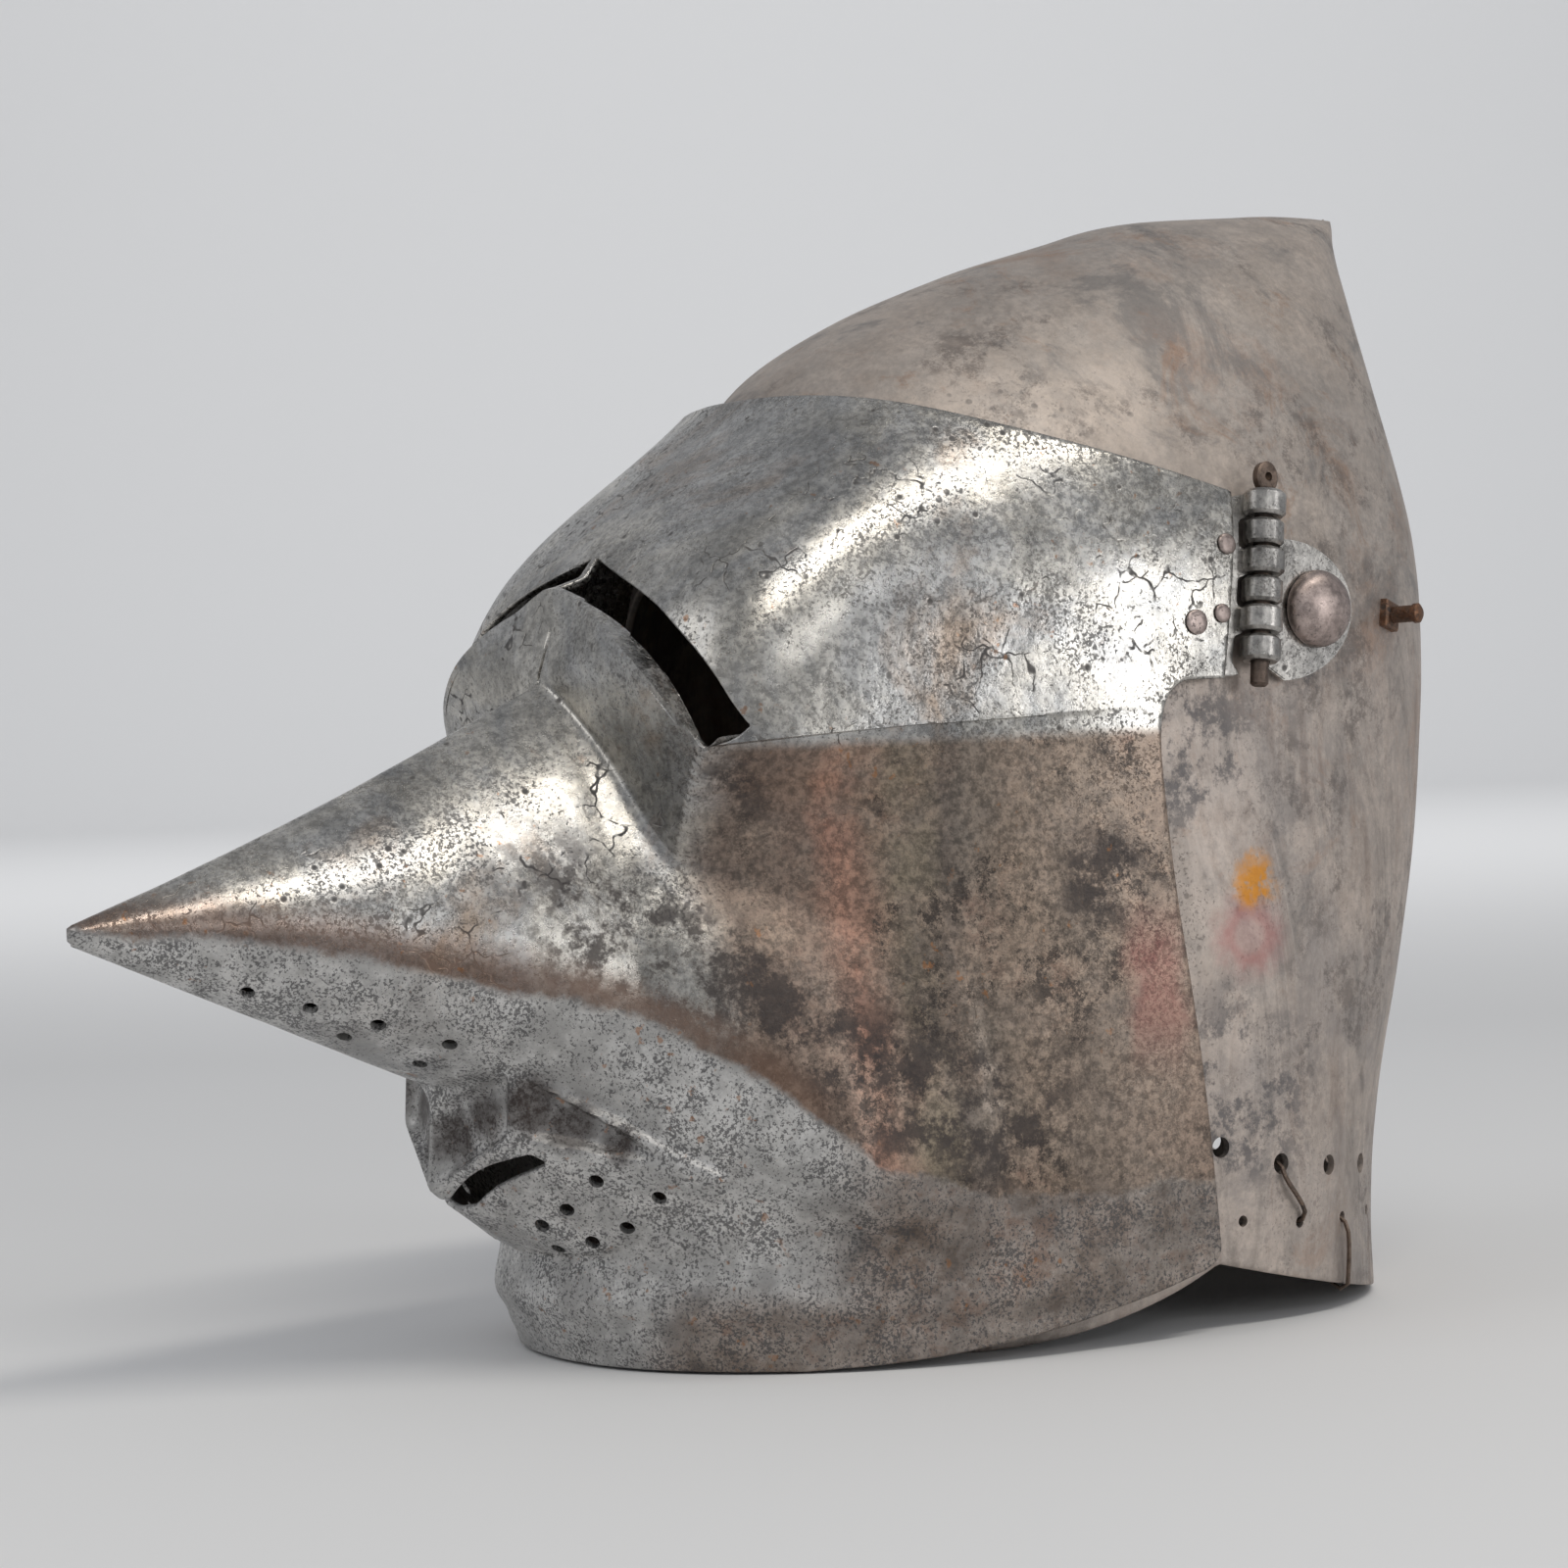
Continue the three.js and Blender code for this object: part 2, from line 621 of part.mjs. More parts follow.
// Outward direction of a face at a point of the left side
function sideNormal(facePoint, y, height) {
  const step = 0.5;
  const along = sidePoint(facePoint, y + step, height).sub(sidePoint(facePoint, y - step, height));
  const up = sidePoint(facePoint, y, height + step).sub(sidePoint(facePoint, y, height - step));
  return along.cross(up).normalize();
}

// Breaths: rows under the snout and beside the mouth slot, each drilled square to the plate
function breathCutters() {
  return breathShares.flatMap(({ drillShare, places }) =>
    places.map(placeAt).flatMap((at) => {
      const drill = point(...drillShare).multiplyScalar(breathDepth);
      const hole = rodSolid(at.clone().sub(drill), at.clone().add(drill), breathDiameter, 6);
      return [hole, hole.mirror([1, 0, 0])];
    }),
  );
}

// Mouth slot: a shallow arc along the under side, behind the lip
function mouthSlotCutter() {
  const halfLength = 0.5 * mouthSlotLength;
  const bend = mouthSlotBend;
  const front = lipMiddle.y + mouthSlotSetback;
  const outline = new THREE.Shape();
  outline.moveTo(-halfLength, front + bend);
  outline.quadraticCurveTo(0, front - bend, halfLength, front + bend);
  outline.lineTo(halfLength, front + bend + mouthSlotWidth);
  outline.quadraticCurveTo(0, front - bend + mouthSlotWidth, -halfLength, front + bend + mouthSlotWidth);
  outline.closePath();
  const geometry = new THREE.ExtrudeGeometry(outline, { depth: 2 * overrun, bevelEnabled: false, curveSegments: 8 });
  return solidOf(geometry.translate(0, 0, lipMiddle.z - overrun));
}

const cutAll = (solid, cutters) => cutters.reduce((rest, cutter) => rest.subtract(cutter), solid);

// Skull: a raised bowl with an arched face opening and a rim that rises at the sides
function faceOpeningCutter() {
  const half = 0.5 * faceOpeningWidth;
  const outline = new THREE.Shape();
  outline.moveTo(-half, -overrun);
  outline.lineTo(half, -overrun);
  outline.absarc(0, faceOpeningHeight - half, half, 0, Math.PI, false);
  outline.closePath();
  const depth = cutReach + midWidestY;
  const geometry = new THREE.ExtrudeGeometry(outline, { depth, bevelEnabled: false, curveSegments: 16 });
  return solidOf(geometry.rotateX(0.5 * Math.PI).translate(0, midWidestY, 0));
}

// The rim rises from the chin corners to a crest beside the visor and falls to the heel at the back
const rimSweepShare = 0.055;
const rimBendShare = 0.45;

function rimHeightAt(y) {
  const bend = crestY - 2 * rimBendY + heelY;
  const lean = rimBendY - crestY;
  const t = (-lean + Math.sqrt(lean * lean + bend * (y - crestY))) / bend;
  return rimRise * ((1 - t) * (1 - t) + 2 * rimBendShare * t * (1 - t));
}

function rimOutline() {
  const outline = new THREE.Shape();
  outline.moveTo(-cutReach, 0);
  outline.lineTo(rimFrontY, 0);
  outline.quadraticCurveTo(rimSweepY, rimSweepShare * rimRise, crestY, rimRise);
  outline.quadraticCurveTo(rimBendY, rimBendShare * rimRise, heelY, 0);
  outline.lineTo(cutReach, 0);
  outline.lineTo(cutReach, cutReach + skullHeight);
  outline.lineTo(-cutReach, cutReach + skullHeight);
  outline.closePath();
  return outline;
}

// A point of the skull's rim zone, a distance round from the foremost hole
function roundRim(distance, height) {
  const startAngle = -0.06;
  const angleStep = 0.01;
  let walked = 0;
  let angle = startAngle;
  let from = skullPoint(height, angle);
  while (walked < distance) {
    angle += angleStep;
    const to = skullPoint(height, angle);
    walked += to.distanceTo(from);
    from = to;
  }
  return { angle, height };
}

// Holes that run round the rim from one cheek to the other, a row for the mail and a row for stitches
const mailHoleCount = 8;
const rimHoleRows = [
  { startShare: 0, count: mailHoleCount, diameter: rimHoleDiameter, frontHeight: rimHoleHeight, drop: rimHoleDrop },
  {
    startShare: 0.33,
    count: mailHoleCount - 1,
    diameter: stitchHoleDiameter,
    frontHeight: stitchHoleHeight,
    drop: stitchHoleDrop,
  },
];

function rimHolePlace({ startShare, frontHeight, drop }, k) {
  const dropShare = Math.sqrt(k / (mailHoleCount - 2));
  return roundRim((startShare + k) * rimHolePitch, frontHeight - drop * dropShare);
}

function rimHoleCutters() {
  const drill = (angle, height, diameter) => {
    const inner = insetPoint(skullPoint, height, angle, 2 * skullWall);
    const outer = insetPoint(skullPoint, height, angle, -skullWall);
    return rodSolid(inner, outer, diameter, 7);
  };
  return rimHoleRows.flatMap((row) =>
    Array.from({ length: row.count }, (_, k) => {
      const { angle, height } = rimHolePlace(row, k);
      const left = drill(angle, height, row.diameter);
      return [left, left.mirror([1, 0, 0])];
    }).flat(),
  );
}

const acrossRod = (y, height, diameter, sides) =>
  rodSolid(point(-cutReach, y, height), point(cutReach, y, height), diameter, sides);

const studAt = sidePointBack(studY, studHeight);
const studOut = backNormal(studY, studHeight);

// A point and an outward direction on the left back of the skull
function sidePointBack(y, height) {
  const widest = widestLineY(height);
  const share = (y - widest) / (skullPoint(height, 0.5 * Math.PI).y - widest);
  return point(skullHalfWidth(height) * (1 - share ** ovalPower) ** (1 / ovalPower), y, height);
}

function backNormal(y, height) {
  const step = 0.5;
  const along = sidePointBack(y + step, height).sub(sidePointBack(y - step, height));
  const up = sidePointBack(y, height + step).sub(sidePointBack(y, height - step));
  return along.cross(up).normalize();
}

const alongStud = (distance) => studAt.clone().addScaledVector(studOut, distance);

function skullBowl() {
  const studHole = rodSolid(alongStud(-overrun), alongStud(overrun), studShankDiameter + 2 * fitGap, 12);
  const bowl = skullSolid(0).subtract(skullSolid(skullWall));
  const trimmed = bowl.intersect(sideOutlineSolid(rimOutline(), -cutReach, cutReach));
  return cutAll(trimmed, [
    faceOpeningCutter(),
    ...rimHoleCutters(),
    acrossRod(pivotY, pivotHeight, pivotShankDiameter + 2 * fitGap, 14),
    studHole,
    studHole.mirror([1, 0, 0]),
  ]);
}

// Rivets that hold the hinge leaf to the left side of the visor: place and head diameter
const leafRivets = leafRivetShares.map(({ alongShare, forwardShare, sizeShare }) => {
  const height = hingeFootHeight + alongShare * hingeLength;
  const y = hingeYAt(height) - forwardShare * leafReach;
  return { y, height, diameter: sizeShare * leafRivetDiameter };
});

function visorShell() {
  const rivetPlaces = leafRivets.map(({ y, height }) => [y, height]);
  const outside = visorBody(0, ledgeEnd.z + 2 * ledgeFade);
  const shell = outside.subtract(visorBody(visorWall, visorTopHeight - visorWall));
  return cutAll(shell.intersect(sideOutlineSolid(visorOutline(), -cutReach, cutReach)), [
    sightCutter(),
    sightCutter().mirror([1, 0, 0]),
    mouthSlotCutter(),
    ...breathCutters(),
    ...drilledHoles(visorPoint, rivetPlaces, leafRivetShank + 2 * fitGap),
  ]);
}

// Hinge barrel: knuckles of the pivot plate and of the visor's leaf take turns up the pin
const knuckleCount = 6;
const barrelFootShare = 0.07;
const knuckleShare = (1 - barrelFootShare) / knuckleCount;

function knuckle(k, diameter, endGap) {
  const gapShare = endGap / hingeLength;
  const low = barrelFootShare + k * knuckleShare + gapShare;
  return rodSolid(onHinge(low), onHinge(low + knuckleShare - 2 * gapShare), diameter, 12);
}

const plateKnuckles = [0, 2, 4];
const leafKnuckles = [1, 3, 5];
const pinBore = () => rodSolid(onHinge(-0.5), onHinge(1.5), hingePinDiameter + 2 * fitGap, 10);

function barrelPiece(sheet, ownKnuckles, otherKnuckles) {
  const slots = otherKnuckles.map((k) => knuckle(k, barrelDiameter + 2 * turningGap, -0.5 * knuckleGap));
  const withKnuckles = ownKnuckles.reduce(
    (sum, k) => sum.add(knuckle(k, barrelDiameter, 0.5 * knuckleGap)),
    cutAll(sheet, slots),
  );
  return withKnuckles.subtract(pinBore());
}

// Pivot plate: a flat D behind the barrel that turns with the visor round the pivot rivet
const plateSweep = Math.hypot(plateHalfHeight, pivotY - hingeFootY);
const plateInnerX = skullHalfWidth(pivotHeight - plateSweep) + turningGap;
const plateOuterX = plateInnerX + plateThickness;
const sheetStart = 0.3 * barrelDiameter;

function pivotPlate() {
  const low = pivotHeight - plateHalfHeight;
  const high = pivotHeight + plateHalfHeight;
  const arcY = hingeYAt(high) + sheetStart + plateThickness;
  const outline = new THREE.Shape();
  outline.moveTo(hingeYAt(high) + sheetStart, high);
  outline.lineTo(hingeYAt(low) + sheetStart, low);
  outline.absellipse(
    arcY, pivotHeight, pivotY + plateReach - arcY, plateHalfHeight, -0.5 * Math.PI, 0.5 * Math.PI, false, 0,
  );
  outline.closePath();
  const sheet = sideOutlineSolid(outline, plateInnerX, plateOuterX);
  const bore = acrossRod(pivotY, pivotHeight, pivotShankDiameter + 2 * fitGap, 14);
  return barrelPiece(sheet.subtract(bore), plateKnuckles, leafKnuckles);
}

// Hinge leaf: a strip inside the edge of the visor, drawn out to its knuckles
function hingeLeaf() {
  const outerInset = visorWall + fitGap;
  const innerInset = outerInset + leafThickness;
  const low = hingeFootHeight + turningGap;
  const high = hingeTopHeight - turningGap;
  const corner = 0.16 * leafReach;
  const outline = new THREE.Shape();
  outline.moveTo(hingeYAt(low) - leafReach, low);
  outline.lineTo(hingeYAt(low) - sheetStart, low);
  outline.lineTo(hingeYAt(high) - sheetStart, high);
  outline.lineTo(hingeYAt(high) - leafReach, high - corner);
  outline.closePath();
  const sheet = browLayer(outerInset).subtract(browLayer(innerInset)).intersect(sideOutlineSolid(outline, 0, cutReach));
  const holes = drilledHoles(
    visorPoint,
    leafRivets.map(({ y, height }) => [y, height]),
    leafRivetShank + 2 * fitGap,
  );
  return barrelPiece(cutAll(sheet, holes), leafKnuckles, plateKnuckles);
}

// Hinge pin, along its own z axis from the foot of the hinge, with a flattened eye to draw it out by
function hingePin() {
  const foot = point(0, 0, -0.5 * hingePinDiameter);
  const neck = point(0, 0, hingeLength + 0.4 * hingePinDiameter);
  const eyeHeight = hingeLength + fitGap + 0.62 * pinEyeDiameter;
  const eyeThickness = 0.6 * hingePinDiameter;
  const eye = (diameter, width) =>
    solidOf(
      new THREE.CylinderGeometry(diameter / 2, diameter / 2, width, 14).rotateZ(0.5 * Math.PI).scale(1, 1, 1.2),
      new THREE.Matrix4().makeTranslation(0, 0, eyeHeight),
    );
  return rodSolid(foot, neck, hingePinDiameter, 10)
    .add(eye(pinEyeDiameter, eyeThickness))
    .subtract(eye(0.34 * pinEyeDiameter, 2 * eyeThickness));
}

// A turned piece from a profile of [radius, distance] along its axis, which runs along +Z
function turnedGeometry(profile, sides) {
  const points = profile.map(([radius, distance]) => new THREE.Vector2(radius, distance));
  return new THREE.LatheGeometry(points, sides).rotateX(0.5 * Math.PI);
}

// Rivet profile: inside head, shank and domed outside head, from the inside out
function rivetProfile({ shank, grip, insideDiameter, insideRise, headDiameter, headRise, steps }) {
  const dome = (diameter, rise, base, direction) =>
    Array.from({ length: steps + 1 }, (_, k) => {
      const turn = (0.5 * Math.PI * k) / steps;
      return [0.5 * diameter * Math.cos(turn), base + direction * rise * Math.sin(turn)];
    });
  const inside = dome(insideDiameter, insideRise, -grip, -1).reverse();
  const head = dome(headDiameter, headRise, 0, 1);
  inside[0][0] = 0;
  head[steps][0] = 0;
  return [...inside, [0.5 * shank, -grip], [0.5 * shank, 0], ...head];
}

const facing = (direction) => new THREE.Quaternion().setFromUnitVectors(point(0, 0, 1), direction);

function placed(mesh, at, direction) {
  mesh.position.copy(at);
  mesh.quaternion.copy(facing(direction));
  return mesh;
}

// Extremes of the skull's outer face within a circle round the pivot
function skullReachAtPivot(diameter, pick) {
  const turnCount = 16;
  const turns = Array.from({ length: turnCount }, (_, k) => (k / turnCount) * 2 * Math.PI);
  const xAt = (turn) => {
    const y = pivotY + 0.5 * diameter * Math.cos(turn);
    const height = pivotHeight + 0.5 * diameter * Math.sin(turn);
    const widest = widestLineY(height);
    return y > widest ? sidePointBack(y, height).x : skullHalfWidth(height);
  };
  return pick(...turns.map(xAt));
}

const pivotRod = (fromX, toX, diameter) =>
  rodSolid(point(fromX, pivotY, pivotHeight), point(toX, pivotY, pivotHeight), diameter, 14);
const pivotBore = () => pivotRod(0, cutReach, pivotShankDiameter + 2 * fitGap);

// Washer between skull and plate, its back shaped to the skull
function pivotWasher() {
  const inner = skullReachAtPivot(pivotWasherDiameter, Math.min) - skullWall;
  return cutAll(pivotRod(inner, plateInnerX - fitGap, pivotWasherDiameter), [skullSolid(-fitGap), pivotBore()]);
}

// Rove inside the skull, its face shaped to the bowl
const roveInnerX = skullReachAtPivot(pivotRoveDiameter, Math.min) - skullWall - pivotRoveThickness;

function pivotRove() {
  return pivotRod(roveInnerX, cutReach, pivotRoveDiameter).intersect(skullSolid(skullWall + fitGap)).subtract(pivotBore());
}

function pivotRivet() {
  const seatX = plateOuterX + fitGap;
  const profile = rivetProfile({
    shank: pivotShankDiameter,
    grip: seatX - roveInnerX + fitGap,
    insideDiameter: 0.75 * pivotRoveDiameter,
    insideRise: 0.3 * pivotHeadRise,
    headDiameter: pivotHeadDiameter,
    headRise: pivotHeadRise,
    steps: 3,
  });
  const mesh = namedMesh('pivot_rivet', turnedGeometry(profile, 14), 'rivets');
  return placed(mesh, point(seatX, pivotY, pivotHeight), point(1, 0, 0));
}

function leafRivet({ y, height, diameter }) {
  const out = sideNormal(visorPoint, y, height);
  const seat = sidePoint(visorPoint, y, height).addScaledVector(out, 0.5 * fitGap);
  const profile = rivetProfile({
    shank: leafRivetShank,
    grip: visorWall + leafThickness + 4 * fitGap,
    insideDiameter: 0.85 * diameter,
    insideRise: leafRivetRise,
    headDiameter: diameter,
    headRise: leafRivetRise,
    steps: 2,
  });
  return placed(namedMesh('leaf_rivet', turnedGeometry(profile, 8), 'rivets'), seat, out);
}

// Rear stud: a square base with a round peg through it
function studBase() {
  const block = new THREE.BoxGeometry(studBaseWidth, studBaseWidth, 2 * studBaseThickness);
  block.applyQuaternion(facing(studOut)).translate(studAt.x, studAt.y, studAt.z);
  const bore = rodSolid(alongStud(-overrun), alongStud(overrun), studShankDiameter + 2 * fitGap, 12);
  return cutAll(solidOf(block), [skullSolid(-fitGap), bore]);
}

function studPeg() {
  const seat = studBaseThickness + fitGap;
  const profile = rivetProfile({
    shank: studShankDiameter,
    grip: seat + skullWall + 3 * fitGap,
    insideDiameter: 1.2 * studPegDiameter,
    insideRise: 0.2 * studPegDiameter,
    headDiameter: studPegDiameter,
    headRise: 0.2 * studPegDiameter,
    steps: 3,
  });
  const head = profile.slice(-4).map(([radius, distance]) => [radius, distance + studPegLength]);
  const shaped = [...profile.slice(0, -4), [0.5 * studPegDiameter, 0], ...head];
  return placed(namedMesh('stud_peg', turnedGeometry(shaped, 8), 'iron'), alongStud(seat), studOut);
}

// One side's hinge and fittings; the right side is the left one mirrored
function sideFittings(side) {
  const group = new THREE.Group();
  const hingeWay = hingeTop.clone().sub(hingeFoot).normalize();
  const pieces = [
    namedMesh('pivot_plate', pivotPlate(), 'fittings'),
    namedMesh('hinge_leaf', hingeLeaf(), 'fittings'),
    placed(namedMesh('hinge_pin', hingePin(), 'iron'), hingeFoot, hingeWay),
    namedMesh('pivot_washer', pivotWasher(), 'fittings'),
    namedMesh('pivot_rove', pivotRove(), 'iron'),
    pivotRivet(),
    namedMesh('stud_base', studBase(), 'iron'),
    studPeg(),
    ...leafRivets.map((rivet, k) => {
      const mesh = leafRivet(rivet);
      mesh.name = `leaf_rivet_${k + 1}`;
      return mesh;
    }),
  ];
  for (const piece of pieces) piece.name = `${piece.name}_${side}`;
  group.add(...pieces);
  if (side === 'right') group.scale.x = -1;
  return group;
}

// Wire stitches left in the rim of the left side, each a short run of wire through the holes
const wireOut = -(0.5 * stitchWireDiameter + 2 * fitGap);
const wireIn = skullWall - wireOut;
const onSkull = ({ angle, height }, inset, rise = 0) => insetPoint(skullPoint, height + rise, angle, inset);

function wireMesh(name, path) {
  const section = new THREE.Shape();
  section.absarc(0, 0, 0.5 * stitchWireDiameter, 0, 2 * Math.PI, false);
  const extrudePath = new THREE.CatmullRomCurve3(path, false, 'centripetal');
  const geometry = new THREE.ExtrudeGeometry(section, { steps: 11, extrudePath, curveSegments: 3 });
  return namedMesh(name, geometry, 'iron');
}

// From a mail hole down to the stitch hole behind it
function holeStitch() {
  const upper = rimHolePlace(rimHoleRows[0], 1);
  const lower = rimHolePlace(rimHoleRows[1], 1);
  const end = wireIn + stitchWireDiameter;
  return wireMesh('stitch_wire_1', [
    onSkull(upper, end),
    onSkull(upper, 0.5 * skullWall),
    onSkull(upper, wireOut, -2.7 * stitchWireDiameter),
    onSkull(lower, wireOut, 1.9 * stitchWireDiameter),
    onSkull(lower, 0.5 * skullWall),
    onSkull(lower, end),
  ]);
}

// From a stitch hole over the rim
function rimStitch() {
  const hole = rimHolePlace(rimHoleRows[1], 2);
  const rim = rimHeightAt(onSkull(hole, 0).y);
  const below = rim + wireOut - hole.height;
  return wireMesh('stitch_wire_2', [
    onSkull(hole, wireIn + stitchWireDiameter),
    onSkull(hole, 0.5 * skullWall),
    onSkull(hole, wireOut, -1.9 * stitchWireDiameter),
    onSkull(hole, wireOut, below + 1.9 * stitchWireDiameter),
    onSkull(hole, 0.65 * wireOut, below + 0.25 * stitchWireDiameter),
    onSkull(hole, 0.5 * skullWall, below - 0.25 * stitchWireDiameter),
    onSkull(hole, wireIn, below + 0.6 * stitchWireDiameter),
    onSkull(hole, wireIn, below + 3 * stitchWireDiameter),
  ]);
}

const helmet = new THREE.Group();
helmet.add(namedMesh('skull_bowl', skullBowl(), 'skull'));
helmet.add(namedMesh('visor_shell', visorShell(), 'visor'));
helmet.add(sideFittings('left'), sideFittings('right'), holeStitch(), rimStitch());
helmet.position.y = -0.5 * (snoutTipY + skullBack);

export default helmet;
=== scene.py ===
import contextlib
import functools
import itertools
import math

import bmesh
import bpy
import numpy as np
from mathutils import Matrix, Vector


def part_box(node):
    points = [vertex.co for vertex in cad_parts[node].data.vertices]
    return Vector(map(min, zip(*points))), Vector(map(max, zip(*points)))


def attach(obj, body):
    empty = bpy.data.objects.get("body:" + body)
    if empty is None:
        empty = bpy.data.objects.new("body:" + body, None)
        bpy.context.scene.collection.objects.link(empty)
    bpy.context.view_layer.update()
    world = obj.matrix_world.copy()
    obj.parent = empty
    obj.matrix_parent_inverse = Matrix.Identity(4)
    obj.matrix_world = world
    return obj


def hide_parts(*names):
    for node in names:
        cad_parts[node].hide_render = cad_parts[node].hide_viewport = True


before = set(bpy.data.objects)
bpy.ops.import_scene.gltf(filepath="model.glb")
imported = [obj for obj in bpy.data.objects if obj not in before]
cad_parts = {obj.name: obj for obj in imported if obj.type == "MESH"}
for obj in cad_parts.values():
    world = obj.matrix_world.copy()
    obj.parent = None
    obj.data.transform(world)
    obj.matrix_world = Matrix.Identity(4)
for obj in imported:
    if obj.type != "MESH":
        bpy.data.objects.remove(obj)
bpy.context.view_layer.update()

MM = 0.001
TINY = 1e-6

# The camera looks at the helmet from its front left, level with the sights
CAMERA_TARGET = Vector((0.0, 3.2, 146.4)) * MM
CAMERA_BACK = Vector((0.8387, -0.5441, 0.0233)).normalized()
CAMERA_RIGHT = Vector((0.5446, 0.8379, -0.0359))
CAMERA_DISTANCE = 1.1
CAMERA_LENS = 94.05
SENSOR_WIDTH = 36.0
FAR_CLIP = 20.0


def object_of(name, data):
    obj = bpy.data.objects.new(name, data)
    bpy.context.scene.collection.objects.link(obj)
    return obj


def make_camera():
    data = bpy.data.cameras.new("camera")
    data.lens = CAMERA_LENS
    data.sensor_width = SENSOR_WIDTH
    data.sensor_fit = "HORIZONTAL"
    data.clip_end = FAR_CLIP
    camera = object_of("camera", data)
    camera.location = CAMERA_TARGET + CAMERA_DISTANCE * CAMERA_BACK
    up = CAMERA_BACK.cross(CAMERA_RIGHT).normalized()
    right = up.cross(CAMERA_BACK).normalized()
    camera.rotation_euler = Matrix((right, up, CAMERA_BACK)).transposed().to_euler()
    bpy.context.scene.camera = camera


make_camera()

# Sizes of the solids, in millimetres, in the helmet's own frame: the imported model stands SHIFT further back
SHIFT = 1.479
SKULL_HEIGHT = 303.0
SKULL_WIDTH = 181.0
SKULL_BACK = 202.2
SKULL_FRONT = -38.0
SKULL_DEPTH = SKULL_BACK - SKULL_FRONT
SKULL_WALL = 2.0
VISOR_WALL = 2.0
STAND_OFF = 6.0
OVAL_POWER = 2.2
SIGHT_WIDTH = 14.0
SNOUT_LENGTH = 132.0
SNOUT_TIP_HEIGHT = 118.5
SNOUT_TIP_WIDTH = 4.4

# Skull sections: height, half width, front, widest line and back, as shares
SKULL_SHARES = np.array([
    (0.0, 0.972, 0.042, 0.51, 0.868),
    (0.1, 0.989, 0.029, 0.508, 0.867),
    (0.2, 0.998, 0.017, 0.508, 0.89),
    (0.3, 1.0, 0.004, 0.508, 0.93),
    (0.4, 0.992, 0.0, 0.508, 0.966),
    (0.5, 0.978, 0.0, 0.508, 0.988),
    (0.6, 0.964, 0.015, 0.515, 1.0),
    (0.68, 0.938, 0.04, 0.526, 0.997),
    (0.74, 0.883, 0.07, 0.538, 0.986),
    (0.8, 0.798, 0.119, 0.563, 0.971),
    (0.85, 0.7, 0.178, 0.599, 0.962),
    (0.9, 0.573, 0.292, 0.647, 0.957),
    (0.94, 0.436, 0.427, 0.705, 0.957),
    (0.97, 0.299, 0.561, 0.772, 0.966),
    (0.99, 0.165, 0.668, 0.842, 0.98),
    (1.0, 0.066, 0.83, 0.91, 0.987),
])

# Front line of the visor without its snout: height and forward reach, as shares
FRONT_SHARES = np.array([
    (0.0, 1.285),
    (0.05, 1.355),
    (0.1, 1.335),
    (0.17, 1.4),
    (0.26, 1.365),
    (0.36, 1.3),
    (0.5, 1.255),
    (0.6, 1.24),
    (0.66, 1.18),
    (0.7, 1.098),
    (0.74, 0.984),
    (0.78, 0.86),
    (0.82, 0.755),
    (0.86, 0.685),
])


def along_sections(table, column, share):
    """The value of a column at each height share, along a smooth curve through the sections."""
    keys, values = table[:, 0], table[:, column]
    share = np.clip(share, keys[0], keys[-1])
    k = np.clip(np.searchsorted(keys, share, side="left") - 1, 0, len(keys) - 2)
    places = np.arange(len(keys))
    low, high = np.maximum(places - 1, 0), np.minimum(places + 1, len(keys) - 1)
    slopes = (values[high] - values[low]) / (keys[high] - keys[low])
    step = keys[k + 1] - keys[k]
    t = (share - keys[k]) / step
    blend = t * t * (3 - 2 * t)
    bend = step * t * (1 - t) * ((1 - t) * slopes[k] - t * slopes[k + 1])
    return values[k] * (1 - blend) + values[k + 1] * blend + bend


def skull_half_width(z):
    return 0.5 * SKULL_WIDTH * along_sections(SKULL_SHARES, 1, z / SKULL_HEIGHT)


def skull_place(z, column):
    return SKULL_FRONT + SKULL_DEPTH * along_sections(SKULL_SHARES, column, z / SKULL_HEIGHT)


MID_Y = float(skull_place(np.array(0.0), 3))
FACE_REACH = MID_Y - SKULL_FRONT


def face_place(width_share, reach_share, height_share):
    x, y = 0.5 * SKULL_WIDTH * width_share, MID_Y - FACE_REACH * reach_share
    return np.array([x, y, SKULL_HEIGHT * height_share])


SNOUT_ROOT = face_place(0, 1.287, 0.583)
SIGHT_INNER = face_place(0.033, 1.216, 0.66)
SIGHT_OUTER = face_place(0.718, 1.212, 0.5215)
VALLEY_FOOT = face_place(0.497, 1.184, 0.426)
SNOUT_TIP_Y = SNOUT_ROOT[1] - SNOUT_LENGTH

# Brow: how square its ovals are at the sights, from where up, and the turn where the squared corner ends
BROW_POWER, BROW_DROP, BROW_CORNER = 4.6, 4.5, -52.0
# Share of the height at which the brow is round, and its rounding in degrees: at the sights and added above
BROW_ROUND = 0.965
BROW_ROUNDING = (2.2, 4.3)
# Heights between which the rounding grows, and turns between which it ends
ROUNDING_HEIGHTS, ROUNDING_TURNS = (160, 215), (55, 75)
# The cheek's corner moves out and forward below the foot of the valley
CHEEK_SPREAD = np.array([4.3, 5.1, 0])
# Turns of the tables of distances, and how far short of their end they are read
TABLE_TURNS = np.radians(np.linspace(0, 110, 441))
TABLE_STEP, TABLE_END = 1.5, 1.001


def signed_power(value, power):
    return np.sign(value) * np.abs(value) ** power


def smooth_step(value, low, high):
    t = np.clip((value - low) / (high - low), 0, 1)
    return t * t * (3 - 2 * t)


def smooth_max(a, b, reach):
    """The larger of two, rounded over where they are within reach of each other."""
    h = np.clip(reach - np.abs(a - b), 0, None) / reach
    return np.maximum(a, b) + 0.25 * reach * h * h


def smooth_min(a, b, reach):
    return -smooth_max(-a, -b, reach)


